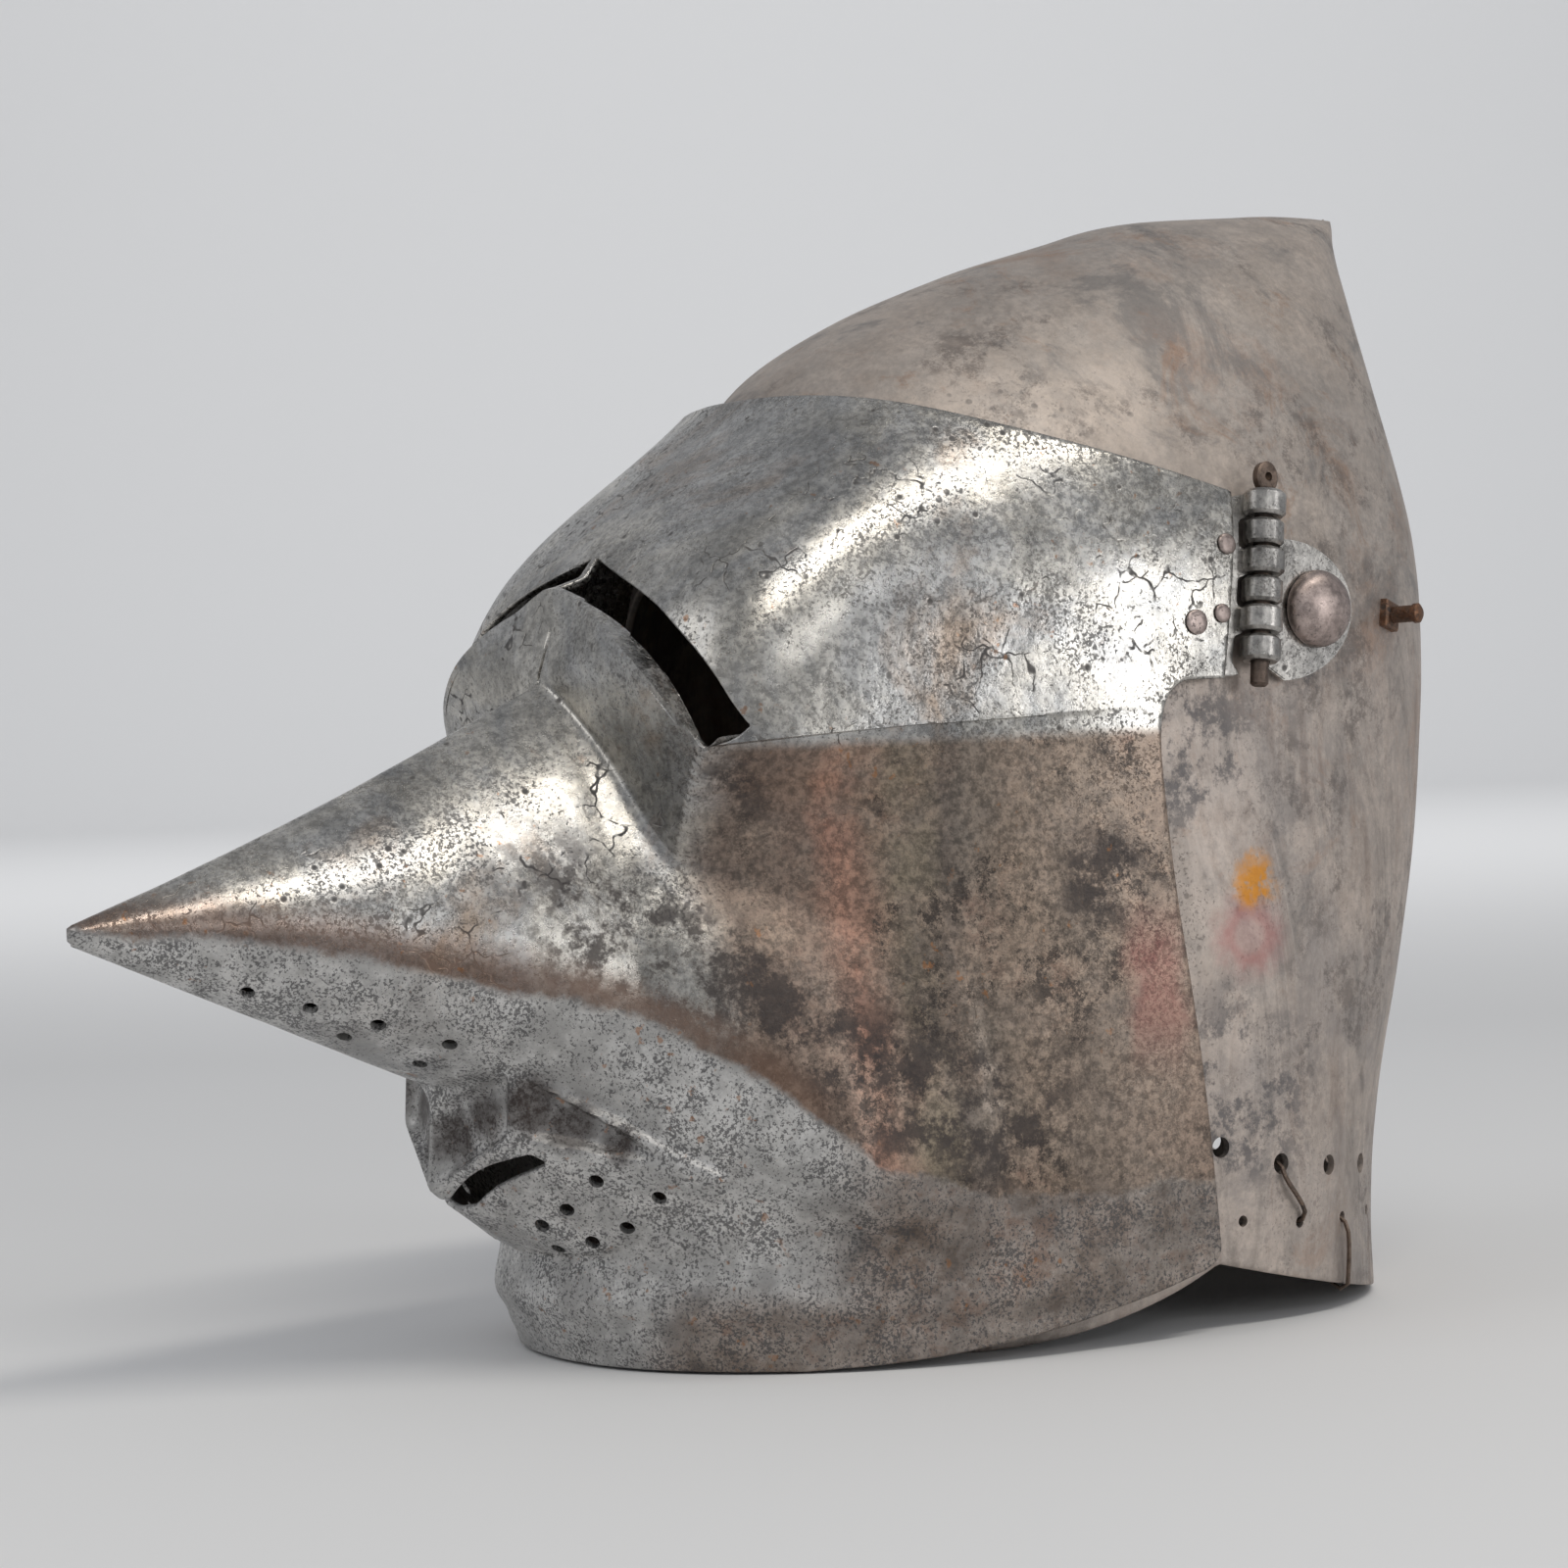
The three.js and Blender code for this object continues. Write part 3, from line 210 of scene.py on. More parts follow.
def polar(x, y):
    """Turn from straight ahead and distance from the upright middle line of the visor."""
    ahead = MID_Y - y
    return np.arctan2(x, ahead), np.hypot(x, ahead)


def left_half_ring(z, power=OVAL_POWER, last=0.0, count=181):
    """The left half of the visor's face at one height, from the front to the side."""
    turn = np.radians(np.linspace(-90.0, last, count))
    half = skull_half_width(z) + STAND_OFF
    widest = skull_place(z, 3)
    reach = FACE_REACH * along_sections(FRONT_SHARES, 1, z / SKULL_HEIGHT) + widest - MID_Y
    x = half * np.cos(turn) ** (2 / power)
    y = widest - reach * np.abs(np.sin(turn)) ** (2 / power)
    return np.column_stack([np.clip(x, 0, None), y])


def filled_back(ring):
    """The ring drawn straight back behind its widest point."""
    return np.vstack([ring, [ring[-1, 0], ring[-1, 1] + 40]])


def outer_hull(points):
    """The left half of the hull of points given with x from zero, from the front to the back."""
    order = np.argsort(polar(points[:, 0], points[:, 1])[0], kind="stable")
    hull = []
    for p in points[order]:
        while len(hull) > 1:
            a, b = hull[-2], hull[-1]
            if (b[0] - a[0]) * (p[1] - b[1]) - (b[1] - a[1]) * (p[0] - b[0]) <= 0:
                hull.pop()
            else:
                break
        hull.append(p)
    return np.array(hull)


def ring_reach(ring, turns):
    """Distance to a left half ring at each turn, the same to both sides."""
    step = np.linspace(0, 1, 9)[:, None]
    dense = np.vstack([a + (b - a) * step for a, b in zip(ring[:-1], ring[1:])])
    at, reach = polar(dense[:, 0], dense[:, 1])
    return np.interp(np.abs(turns), at, reach)


def value_noise(points, wave, seed):
    """Smooth random values between about -1 and 1 at points in space, one hump to each wave length."""
    lattice = np.random.default_rng(seed).uniform(-1, 1, (16, 16, 16))
    at = points / wave
    cell = np.floor(at).astype(int)
    t = at - cell
    t = t * t * (3 - 2 * t)
    value = np.zeros(points.shape[:-1])
    for corner in np.ndindex(2, 2, 2):
        weight = np.prod(np.where(corner, t, 1 - t), axis=-1)
        i, j, k = np.moveaxis((cell + corner) % 16, -1, 0)
        value += weight * lattice[i, j, k]
    return value


class ReachTable:
    """Distances to rings at many heights, read at any turn and height."""

    def __init__(self, ring_at, low, high):
        self.heights = np.arange(low, high + TABLE_STEP, TABLE_STEP)
        self.values = np.array([ring_reach(ring_at(z), TABLE_TURNS) for z in self.heights])

    def read(self, turns, z):
        column = np.clip(np.abs(turns) / TABLE_TURNS[1], 0, len(TABLE_TURNS) - TABLE_END)
        row = np.clip((z - self.heights[0]) / TABLE_STEP, 0, len(self.heights) - TABLE_END)
        c, r = column.astype(int), row.astype(int)
        u, v = column - c, row - r
        low = self.values[r, c] * (1 - u) + self.values[r, c + 1] * u
        high = self.values[r + 1, c] * (1 - u) + self.values[r + 1, c + 1] * u
        return low * (1 - v) + high * v


def cheek_ring(z):
    """The cheeks run back from the valley beside the snout and from the outer corner of the sight."""
    share = (z - VALLEY_FOOT[2]) / (SIGHT_OUTER[2] - VALLEY_FOOT[2])
    if share >= 0:
        corner = VALLEY_FOOT + min(share, 1) * (SIGHT_OUTER - VALLEY_FOOT)
    else:
        corner = VALLEY_FOOT - CHEEK_SPREAD * share
    ring = left_half_ring(z)
    return filled_back(outer_hull(np.vstack([ring, corner[None, :2]])))


def brow_ring(z):
    """The brow is squared off above the sights and round at the top."""
    share = smooth_step(z, SIGHT_OUTER[2] - BROW_DROP, BROW_ROUND * SKULL_HEIGHT)
    power = BROW_POWER + (OVAL_POWER - BROW_POWER) * share
    squared = left_half_ring(z, float(power), BROW_CORNER, 40)
    return filled_back(outer_hull(np.vstack([left_half_ring(z), squared])))


def rounded_brow(table):
    """The brow's corners rounded along each height, more so further up."""
    step = math.degrees(TABLE_TURNS[1])
    fade = 1 - smooth_step(np.degrees(TABLE_TURNS), *ROUNDING_TURNS)
    for row, z in zip(table.values, table.heights):
        reach = (BROW_ROUNDING[0] + BROW_ROUNDING[1] * smooth_step(z, *ROUNDING_HEIGHTS)) / step
        span = int(3 * reach)
        weights = np.exp(-0.5 * (np.arange(-span, span + 1) / reach) ** 2)
        wide = np.concatenate([row[span:0:-1], row, np.full(span, row[-1])])
        smooth = np.convolve(wide, weights / weights.sum(), "valid")
        row += (smooth - row) * fade
    return table


def hull_planes(points):
    """Outward normals and distances of the flat faces round a few points."""
    points = np.array(points, float)
    planes = []
    for a, b, c in itertools.combinations(points, 3):
        normal = np.cross(b - a, c - a)
        size = np.linalg.norm(normal)
        if size < TINY:
            continue
        normal = normal / size
        side = (points - a) @ normal
        if side.max() < TINY:
            planes.append((*normal, normal @ a))
        elif side.min() > -TINY:
            planes.append((*-normal, -normal @ a))
    return np.unique(np.round(np.array(planes), 5), axis=0)


def hull_reach(points, turns, z, rounding):
    """How far out the hull of the points is met from the middle line, or zero where it is missed."""
    out, back = np.full(turns.shape, 1e4), np.full(turns.shape, -1e4)
    for nx, ny, nz, offset in hull_planes(points):
        along = nx * np.sin(turns) - ny * np.cos(turns)
        along = np.where(np.abs(along) < 1e-5, 1e-5, along)
        reach = (offset - ny * MID_Y - nz * z) / along
        out = np.where(along > 0, smooth_min(out, reach, rounding), out)
        back = np.where(along < 0, np.maximum(back, reach), back)
    return np.where(out > back, np.clip(out, 0, 1e3), 0)


# Snout: how far its ridge drops to the root, and then along the cheek up to a share past the root
RIDGE_DROP, RIDGE_CURVE, CHEEK_DROP, CHEEK_RUN = 31, 1.8, 105, 0.36
# Hollow of its top line, how low the top meets the root, and how far the under side drops
TOP_HOLLOW, ROOT_SINK, UNDER_DROP = 9, 3.7, 58
# Half width at the root, and how the cheek flares out past it
ROOT_HALF, FLARE, FLARE_RUN, FLARE_CURVE = 52, 29, 0.34, 1.5
# Share of the length at which the snout's search ends
SNOUT_END = 1.65


def snout_sizes(share):
    """Half width, ridge, top and under side of the snout along its length."""
    past = np.clip(share - 1, 0, None)
    along = np.minimum(share, 1)
    ridge = SNOUT_TIP_HEIGHT - RIDGE_DROP * along ** RIDGE_CURVE - CHEEK_DROP * np.minimum(past, CHEEK_RUN)
    rise = SNOUT_ROOT[2] - ROOT_SINK - SNOUT_TIP_HEIGHT
    top = SNOUT_TIP_HEIGHT + 0.5 * SNOUT_TIP_WIDTH + rise * share - TOP_HOLLOW * share * (1 - share)
    under = SNOUT_TIP_HEIGHT - 0.5 * SNOUT_TIP_WIDTH - UNDER_DROP * share
    t = np.clip(past / FLARE_RUN, 0, 1)
    half = 0.5 * SNOUT_TIP_WIDTH * (1 - along) + ROOT_HALF * along + FLARE * (1 - (1 - t) ** FLARE_CURVE)
    return half, ridge, top, under


def snout_half_width(share, z):
    half, ridge, top, under = snout_sizes(share)
    above = z >= ridge
    rise = np.where(above, (z - ridge) / (top - ridge), (ridge - z) / (ridge - under))
    power = np.where(above, 1.9 - 0.5 * np.minimum(share, 1), 1.75 + 4 * np.clip(share - 0.8, 0, None))
    inside = half * np.clip(1 - np.clip(rise, 0, 1) ** power, 0, None) ** (1 / power)
    return np.where(rise < 1, inside, -half * (rise - 1))


def snout_reach(turns, z):
    """Distance out to the snout, found by halving the stretch in which the ray enters it."""
    low = np.full(turns.shape, 1e-4)
    high = np.full(turns.shape, SNOUT_END)

    def inside(share):
        y = SNOUT_TIP_Y + share * SNOUT_LENGTH
        return snout_half_width(share, z) > (MID_Y - y) * np.abs(np.tan(turns))

    meets = inside(high)
    for _ in range(26):
        middle = 0.5 * (low + high)
        is_in = inside(middle)
        high = np.where(is_in, middle, high)
        low = np.where(is_in, low, middle)
    y = SNOUT_TIP_Y + high * SNOUT_LENGTH
    return np.where(meets, (MID_Y - y) / np.cos(turns), 0)


MOUTH_SHARES = {
    "lip_middle": (0, 1.592, 0.158),
    "lip_top": (0, 1.58, 0.2475),
    "under_lip": (0, 1.376, 0.096),
    "lip_corner": (0.309, 1.522, 0.205),
    "lip_corner_top": (0.309, 1.514, 0.261),
    "lip_end": (0.696, 1.188, 0.167),
    "under_lip_side": (0.287, 1.327, 0.099),
    "under_lip_end": (0.552, 1.139, 0.119),
    "behind_top": (0.442, 0.935, 0.297),
    "behind_foot": (0.442, 0.935, 0.132),
}
MOUTH_POINTS = {name: face_place(*shares) for name, shares in MOUTH_SHARES.items()}


def bend(start, middle, end, count=24):
    t = np.linspace(0, 1, count + 1)[1:, None]
    return (1 - t) ** 2 * np.array(start) + 2 * t * (1 - t) * np.array(middle) + t * t * np.array(end)


# The edge under a sight is an arch
LEDGE_BENDS = np.array([(49.2, -78.6, 186.3), (59.8, -71.8, 172.0)])


def ledge_arch(count):
    """Points along the edge under the left sight, from its inner corner outwards."""
    t = np.linspace(0, 1, count + 1)[:, None]
    ends = (1 - t) ** 3 * SIGHT_INNER + t ** 3 * SIGHT_OUTER
    return ends + 3 * t * (1 - t) * ((1 - t) * LEDGE_BENDS[0] + t * LEDGE_BENDS[1])


UNDER_EYE = [
    SNOUT_ROOT, SIGHT_INNER * (0, 1, 1), *ledge_arch(8), VALLEY_FOOT,
    face_place(0.33, 0.69, 0.5215), face_place(0.22, 0.69, 0.426),
]


def polyline_height(points, turns, count=60):
    """Height along a line of points, read by turn."""
    step = np.linspace(0, 1, count)[:, None]
    dense = np.vstack([a + (b - a) * step for a, b in zip(points[:-1], points[1:])])
    at = polar(dense[:, 0], dense[:, 1])[0]
    order = np.argsort(at, kind="stable")
    return np.interp(np.abs(turns), at[order], dense[order, 2])


def side_place(y, z):
    ring = left_half_ring(z)
    return np.array([np.interp(y, ring[:, 1], ring[:, 0]), y, z])


LEDGE_LINE = [*ledge_arch(24), side_place(-8.0, 161.5), side_place(60.0, 164.0)]


def ridge_line():
    shares = np.linspace(0.0, 1.34, 30)
    half, ridge, _, _ = snout_sizes(shares)
    line = np.column_stack([half, SNOUT_TIP_Y + shares * SNOUT_LENGTH, ridge])
    return [*line, side_place(0.0, 46.0), side_place(60.0, 45.0)]


def spread(*stretches):
    """Values along stretches given as (start, end, step), without repeats."""
    parts = [np.linspace(a, b, max(int(round((b - a) / s)), 1), endpoint=False) for a, b, s in stretches]
    return np.concatenate([*parts, [stretches[-1][1]]])


LIP_LINE = [MOUTH_POINTS[name] for name in ("lip_middle", "lip_corner", "lip_end")]
MOUTH_TOP = [np.array(p) for p in ((0.0, -109.1, 69.5), (28.0, -101.0, 79.5), (56.0, -70.0, 55.6))]


# Hollow panels beside the mouth: depth, turns between which each one starts, and turns between which it ends
PANELS = [(2.6, (0.2, 1.5), (7.2, 8.4)), (4.0, (8.8, 10.0), (13, 20))]
PANEL_EDGE = 2.6
# Rounding of the facets under the eyes, of the mouth, and where they meet the cheeks
EDGE_ROUNDING, MOUTH_ROUNDING, JOIN_ROUNDING = 0.8, 1.0, 1.5
# How softly the snout meets the face: at its top, and added below, and the heights between
SNOUT_SOFTNESS, SNOUT_SOFT_BELOW = (3, 22), (104, 131)


def mouth_hollow(turns, z):
    """Depth of the hollow panels between the mouth's lip and the face above it, beside the corner edge."""
    degrees = np.degrees(np.abs(turns))
    depth = sum(deep * (smooth_step(degrees, *start) * (1 - smooth_step(degrees, *end)))
                for deep, start, end in PANELS)
    above = smooth_step(z - polyline_height(LIP_LINE, turns), 0.2, PANEL_EDGE)
    below = smooth_step(polyline_height(MOUTH_TOP, turns) - z, 0.0, PANEL_EDGE)
    return depth * above * below


def visor_low(turns, z, cheek):
    """The face below the sights: cheeks, facets under the eyes, snout and mouth, blended."""
    facets = hull_reach(UNDER_EYE, np.abs(turns), z, EDGE_ROUNDING)
    reach = smooth_max(cheek.read(turns, z), facets, JOIN_ROUNDING)
    softness = SNOUT_SOFTNESS[0] + SNOUT_SOFTNESS[1] * (1 - smooth_step(z, *SNOUT_SOFT_BELOW))
    reach = smooth_max(reach, snout_reach(turns, z), softness)
    points = [p * np.array([side, 1, 1]) for p in MOUTH_POINTS.values() for side in (1, -1)]
    mouth = hull_reach(points, turns, z, MOUTH_ROUNDING)
    return smooth_max(reach, mouth, JOIN_ROUNDING) - mouth_hollow(turns, z)


# Turns of the grid's columns as (start, end, step), its lowest and highest rows, and its rows below the ridge,
# from there to the ledge and above it
GRID_TURNS = ((0, 10, 0.25), (10, 32, 0.4), (32, 100, 0.75))
GRID_BOTTOM, GRID_TOP = -0.5, 256.0
GRID_ROWS, GRID_BUNCHING = (100, 100, 84), 1.3
# Turns where the sights end. The sheet slopes back over the ledge, down to a depth, and returns to the brow
SIGHT_END = (23.4, 25.0)
SHELF_SLOPE, SHELF_HEIGHT, SHELF_RETURN, LEDGE_SLOPE = 2.0, 1.4, 30, 3.2
# Groove above the visor's lower edge in front: its height, depth and spread, and the turns where it ends. The
# edge below it stands out
GROOVE_HEIGHT, GROOVE_DEPTH, GROOVE_SPREAD, GROOVE_TURNS = 11, 1.1, 3.2, (0.9, 1.3)
EDGE_OUT, EDGE_HEIGHT = 1.2, 6


def visor_rows(turns):
    """Heights of the grid's points, and which rows lie up to the ledge."""
    ledge, ridge = polyline_height(LEDGE_LINE, turns), polyline_height(ridge_line(), turns)
    lower, middle, upper = (np.linspace(0, 1, n)[:, None] for n in GRID_ROWS)
    z = np.vstack([
        GRID_BOTTOM + (ridge - GRID_BOTTOM) * lower,
        (ridge + (ledge - ridge) * middle)[1:],
        (ledge + (GRID_TOP - ledge) * upper ** GRID_BUNCHING)[1:],
    ])
    return z, np.arange(len(z)) < len(lower) + len(middle) - 1


def visor_grid():
    """Points of the visor's outer face, in rows from the bottom up and columns from right to left."""
    degrees = spread(*GRID_TURNS)
    turns = np.radians(np.concatenate([-degrees[:0:-1], degrees]))
    z, is_low = visor_rows(turns)
    turns = np.broadcast_to(turns, z.shape)
    cheek = ReachTable(cheek_ring, -6, 170)
    brow = rounded_brow(ReachTable(brow_ring, 140, 262))
    low = visor_low(turns[is_low], z[is_low], cheek)
    edge, rise = low[-1], z[~is_low] - z[is_low][-1]
    beside_sights = 1e3 * smooth_step(np.degrees(np.abs(turns[~is_low])), *SIGHT_END)
    shelf = edge - SHELF_SLOPE * rise + SHELF_RETURN * np.maximum(rise - SHELF_HEIGHT, 0)
    face = smooth_min(brow.read(turns[~is_low], z[~is_low]), shelf + beside_sights, 0.6)
    reach = np.vstack([low, smooth_max(face, edge - LEDGE_SLOPE * rise, 1.0)])
    groove = GROOVE_DEPTH * np.exp(-(((z - GROOVE_HEIGHT) / GROOVE_SPREAD) ** 2))
    groove = groove - EDGE_OUT * (1 - smooth_step(z, 0, EDGE_HEIGHT))
    reach = reach - groove * (1 - smooth_step(np.abs(turns), *GROOVE_TURNS))
    return np.dstack([reach * np.sin(turns), MID_Y - reach * np.cos(turns), z])


def grid_normals(grid, closed):
    """Outward directions at the points of a grid."""
    wide = np.concatenate([grid[:, -1:], grid, grid[:, :1]], axis=1) if closed else grid
    along, up = np.gradient(wide, axis=1), np.gradient(wide, axis=0)
    normals = np.cross(along, up)
    size = np.linalg.norm(normals, axis=2, keepdims=True)
    normals = np.where(size > TINY, normals / np.maximum(size, TINY), (0, 0, 1))
    return normals[:, 1:-1] if closed else normals


def without_pinches(kept):
    """Kept cells that meet only at a corner get a third cell between them."""
    while True:
        a, b, c, d = kept[:-1, :-1], kept[:-1, 1:], kept[1:, :-1], kept[1:, 1:]
        first = a & d & ~b & ~c
        second = b & c & ~a & ~d
        if not (first.any() or second.any()):
            return kept
        kept[:-1, 1:] |= first
        kept[:-1, :-1] |= second


# Search for a sheet's edge: length of a probe and the most that a point moves. The chamfer along the edge
PROBE, EDGE_MOVE, CHAMFER = 0.15, 1.4, 0.35


def on_edge(keep, places, normals, level):
    """Places moved along the face to where the kept distance has a level, and the way out there."""
    across = np.cross(normals, (0.31, 0.22, 0.92))
    across /= np.linalg.norm(across, axis=1, keepdims=True)
    ways = (across, np.cross(normals, across))
    start = places.copy()
    for _ in range(5):
        slopes = [(keep(places + PROBE * way) - keep(places - PROBE * way)) / (2 * PROBE) for way in ways]
        slope = slopes[0][:, None] * ways[0] + slopes[1][:, None] * ways[1]
        size = np.maximum((slope * slope).sum(axis=1, keepdims=True), 0.05)
        places = places + slope * (level - keep(places))[:, None] / size
        moved = places - start
        length = np.linalg.norm(moved, axis=1, keepdims=True)
        places = start + moved * np.minimum(1, EDGE_MOVE / np.maximum(length, 1e-9))
    return places, -slope / np.maximum(np.linalg.norm(slope, axis=1, keepdims=True), TINY)


def trimmed_shell(grid, keep, wall, closed=False):
    """Vertices and faces of a sheet of a wall thickness through a grid, kept where keep is positive."""
    count = grid.shape[0] * grid.shape[1]
    ids = np.arange(count).reshape(grid.shape[:2])
    if closed:
        ids = np.hstack([ids, ids[:, :1]])
    points = grid.reshape(-1, 3).copy()
    normals = grid_normals(grid, closed).reshape(-1, 3)
    cells = np.stack([ids[:-1, :-1], ids[:-1, 1:], ids[1:, 1:], ids[1:, :-1]], axis=-1)
    middles = points[cells].mean(axis=2)
    kept = without_pinches(keep(middles.reshape(-1, 3)).reshape(middles.shape[:2]) > 0)
    quads = cells[kept]
    starts, ends = quads.ravel(), np.roll(quads, -1, axis=1).ravel()
    is_rim = ~np.isin(starts * count + ends, ends * count + starts)
    is_rim &= (points[starts] != points[ends]).any(axis=1)
    starts, ends = starts[is_rim], ends[is_rim]
    rim = np.unique(starts)
    places, out = on_edge(keep, points[rim], normals[rim], CHAMFER)
    points[rim] = places
    inner = points - wall * normals
    depths = [places + CHAMFER * out - depth * normals[rim] for depth in (CHAMFER, wall - CHAMFER)]
    vertices = np.vstack([points, inner, *depths])
    place_of = np.zeros(count, int)
    place_of[rim] = np.arange(len(rim))
    rings = [np.array([starts, ends])]
    for k in range(2):
        rings.append(np.array([place_of[starts], place_of[ends]]) + 2 * count + k * len(rim))
    rings.append(np.array([starts, ends]) + count)
    strips = [np.stack([high[1], high[0], low[0], low[1]], axis=1)
              for high, low in zip(rings[:-1], rings[1:])]
    faces = np.vstack([quads, quads[:, ::-1] + count, *strips])
    used = np.unique(faces)
    renumber = np.zeros(len(vertices), int)
    renumber[used] = np.arange(len(used))
    return vertices[used], renumber[faces]


@contextlib.contextmanager
def editing(mesh):
    """The mesh opened for changes and written back."""
    work = bmesh.new()
    work.from_mesh(mesh)
    yield work
    work.to_mesh(mesh)
    work.free()


def mesh_of(name, vertices, faces):
    """A mesh from points in the helmet's frame in millimetres, welded and smooth."""
    mesh = bpy.data.meshes.new(name)
    vertices = (np.asarray(vertices) + (0, SHIFT, 0)) * MM
    mesh.from_pydata(vertices.tolist(), [], [list(face) for face in faces])
    with editing(mesh) as work:
        bmesh.ops.remove_doubles(work, verts=work.verts, dist=TINY)
        bmesh.ops.recalc_face_normals(work, faces=work.faces)
    mesh.shade_smooth()
    return mesh


def sharpen(mesh, degrees):
    """Edges that turn more than an angle are drawn sharp."""
    with editing(mesh) as work:
        for edge in work.edges:
            edge.smooth = len(edge.link_faces) != 2 or edge.calc_face_angle(0) < math.radians(degrees)
    return mesh


def rod_rings(start, end, radii_at, sides, first=0.0):
    """Rings round a line: radii_at lists (distance from the start, radius)."""
    start, end = np.asarray(start, float), np.asarray(end, float)
    way = (end - start) / np.linalg.norm(end - start)
    side = np.cross(way, (0.12, 0.31, 0.94) if abs(way[2]) < 0.9 else (1.0, 0.2, 0.0))
    side /= np.linalg.norm(side)
    other = np.cross(way, side)
    turns = (np.arange(sides) + first) * 2 * math.pi / sides
    circle = np.cos(turns)[:, None] * side + np.sin(turns)[:, None] * other
    return [start + way * distance + circle * max(radius, 0) for distance, radius in radii_at]


def lathe(start, end, radii_at, sides=32, first=0.0):
    """A turned solid along a line, closed at both ends."""
    rings = rod_rings(start, end, radii_at, sides, first)
    vertices, faces = np.vstack(rings), []
    for k in range(len(rings) - 1):
        for i in range(sides):
            j = (i + 1) % sides
            faces.append((k * sides + i, k * sides + j, (k + 1) * sides + j, (k + 1) * sides + i))
    faces.append(tuple(range(sides))[::-1])
    faces.append(tuple(range((len(rings) - 1) * sides, len(rings) * sides)))
    return vertices, faces


def tube(start, end, inner, outer, bevel, sides=36):
    """A turned ring along a line."""
    length = float(np.linalg.norm(np.asarray(end, float) - start))
    section = [(0, inner), (0, outer - bevel), (bevel, outer)]
    section += [(length - distance, radius) for distance, radius in section[::-1]]
    vertices, faces = np.vstack(rod_rings(start, end, section, sides)), []
    for k in range(len(section)):
        low, high = k * sides, (k + 1) % len(section) * sides
        for i in range(sides):
            j = (i + 1) % sides
            faces.append((low + i, low + j, high + j, high + i))
    return vertices, faces


def slab(outline, near_x, far_x):
    """A flat plate between two x places, from its outline seen from the side."""
    count = len(outline)
    vertices = np.vstack([np.column_stack([np.full(count, x), outline]) for x in (near_x, far_x)])
    faces = [(i, (i + 1) % count, count + (i + 1) % count, count + i) for i in range(count)]
    return vertices, [tuple(range(count))[::-1], tuple(range(count, 2 * count)), *faces]


def dome(radius, rise, base, steps=8, power=1.0):
    """Profile of a rounded head: distances and radii from its base to its top."""
    turns = np.linspace(0, 0.5 * math.pi, steps + 1)
    return [(base + rise * math.sin(t), max(radius * math.cos(t) ** power, 0.02)) for t in turns]


# Angles in degrees from which edges are drawn sharp: on sheets, fittings, turned pieces and the studs' blocks
SHEET_SHARP, PART_SHARP, TURNED_SHARP, BLOCK_SHARP = 58, 38, 40, 20


def joined(parts):
    """Several solids as one list of vertices and faces."""
    vertices, faces, count = [], [], 0
    for part_vertices, part_faces in parts:
        vertices.append(part_vertices)
        faces.extend([tuple(v + count for v in face) for face in part_faces])
        count += len(part_vertices)
    return np.vstack(vertices), faces


def cut(mesh, cutters):
    """The mesh with solids cut out of it."""
    obj = object_of("to_cut", mesh)
    tool = object_of("cutter", mesh_of("cutter", *joined(cutters)))
    cutting = obj.modifiers.new("cut", "BOOLEAN")
    cutting.object, cutting.solver, cutting.operation = tool, "MANIFOLD", "DIFFERENCE"
    result = bpy.data.meshes.new_from_object(obj.evaluated_get(bpy.context.evaluated_depsgraph_get()))
    for used in (obj, tool):
        data = used.data
        bpy.data.objects.remove(used)
        bpy.data.meshes.remove(data)
    return result


def drill(at, way, reach, diameter, sides=20):
    """A round cutter through a point, reaching as far to both sides."""
    at, way = np.asarray(at, float), np.asarray(way, float)
    way = way / np.linalg.norm(way)
    return lathe(at - way * reach, at + way * reach, [(0, diameter / 2), (2 * reach, diameter / 2)], sides)


def mirrored(part, side):
    """A solid of the left side put on a side, 1 for the left and -1 for the right."""
    vertices, faces = part
    return vertices * np.array([side, 1, 1]), faces if side > 0 else [tuple(face)[::-1] for face in faces]


def both(parts):
    """The parts of the left side and their mirror images."""
    return [mirrored(part, side) for part in parts for side in (1, -1)]


def polygon_distance(points, outline):
    """Distance from a closed outline, positive inside it."""
    nearest, is_inside = np.full(len(points), np.inf), np.zeros(len(points), bool)
    for start, end in zip(outline, np.roll(outline, -1, axis=0)):
        edge = end - start
        if edge @ edge < 1e-9:
            continue
        offset = points - start
        t = np.clip(offset @ edge / (edge @ edge), 0, 1)
        nearest = np.minimum(nearest, np.linalg.norm(offset - t[:, None] * edge, axis=1))
        side = offset[:, 1] * edge[0] - offset[:, 0] * edge[1]
        straddles = (start[1] > points[:, 1]) != (end[1] > points[:, 1])
        is_inside ^= straddles & ((side > 0) == (edge[1] > 0))
    return np.where(is_inside, nearest, -nearest)


# Hinge line of the left side
PIVOT_Y = 112.0
PIVOT_HEIGHT = 0.6205 * SKULL_HEIGHT
HINGE_FOOT_Y = PIVOT_Y - 23.2
HINGE_FOOT_HEIGHT = PIVOT_HEIGHT - 17.4
HINGE_LENGTH = 49.0
HINGE_LEAN = 9.2
BARREL_DIAMETER = 11.4
BARREL_NOTCH = 10.1


def hinge_y(height):
    return HINGE_FOOT_Y + HINGE_LEAN * (height - HINGE_FOOT_HEIGHT) / HINGE_LENGTH


def side_at(reach_share, height_share):
    return np.array([MID_Y - FACE_REACH * reach_share, SKULL_HEIGHT * height_share])


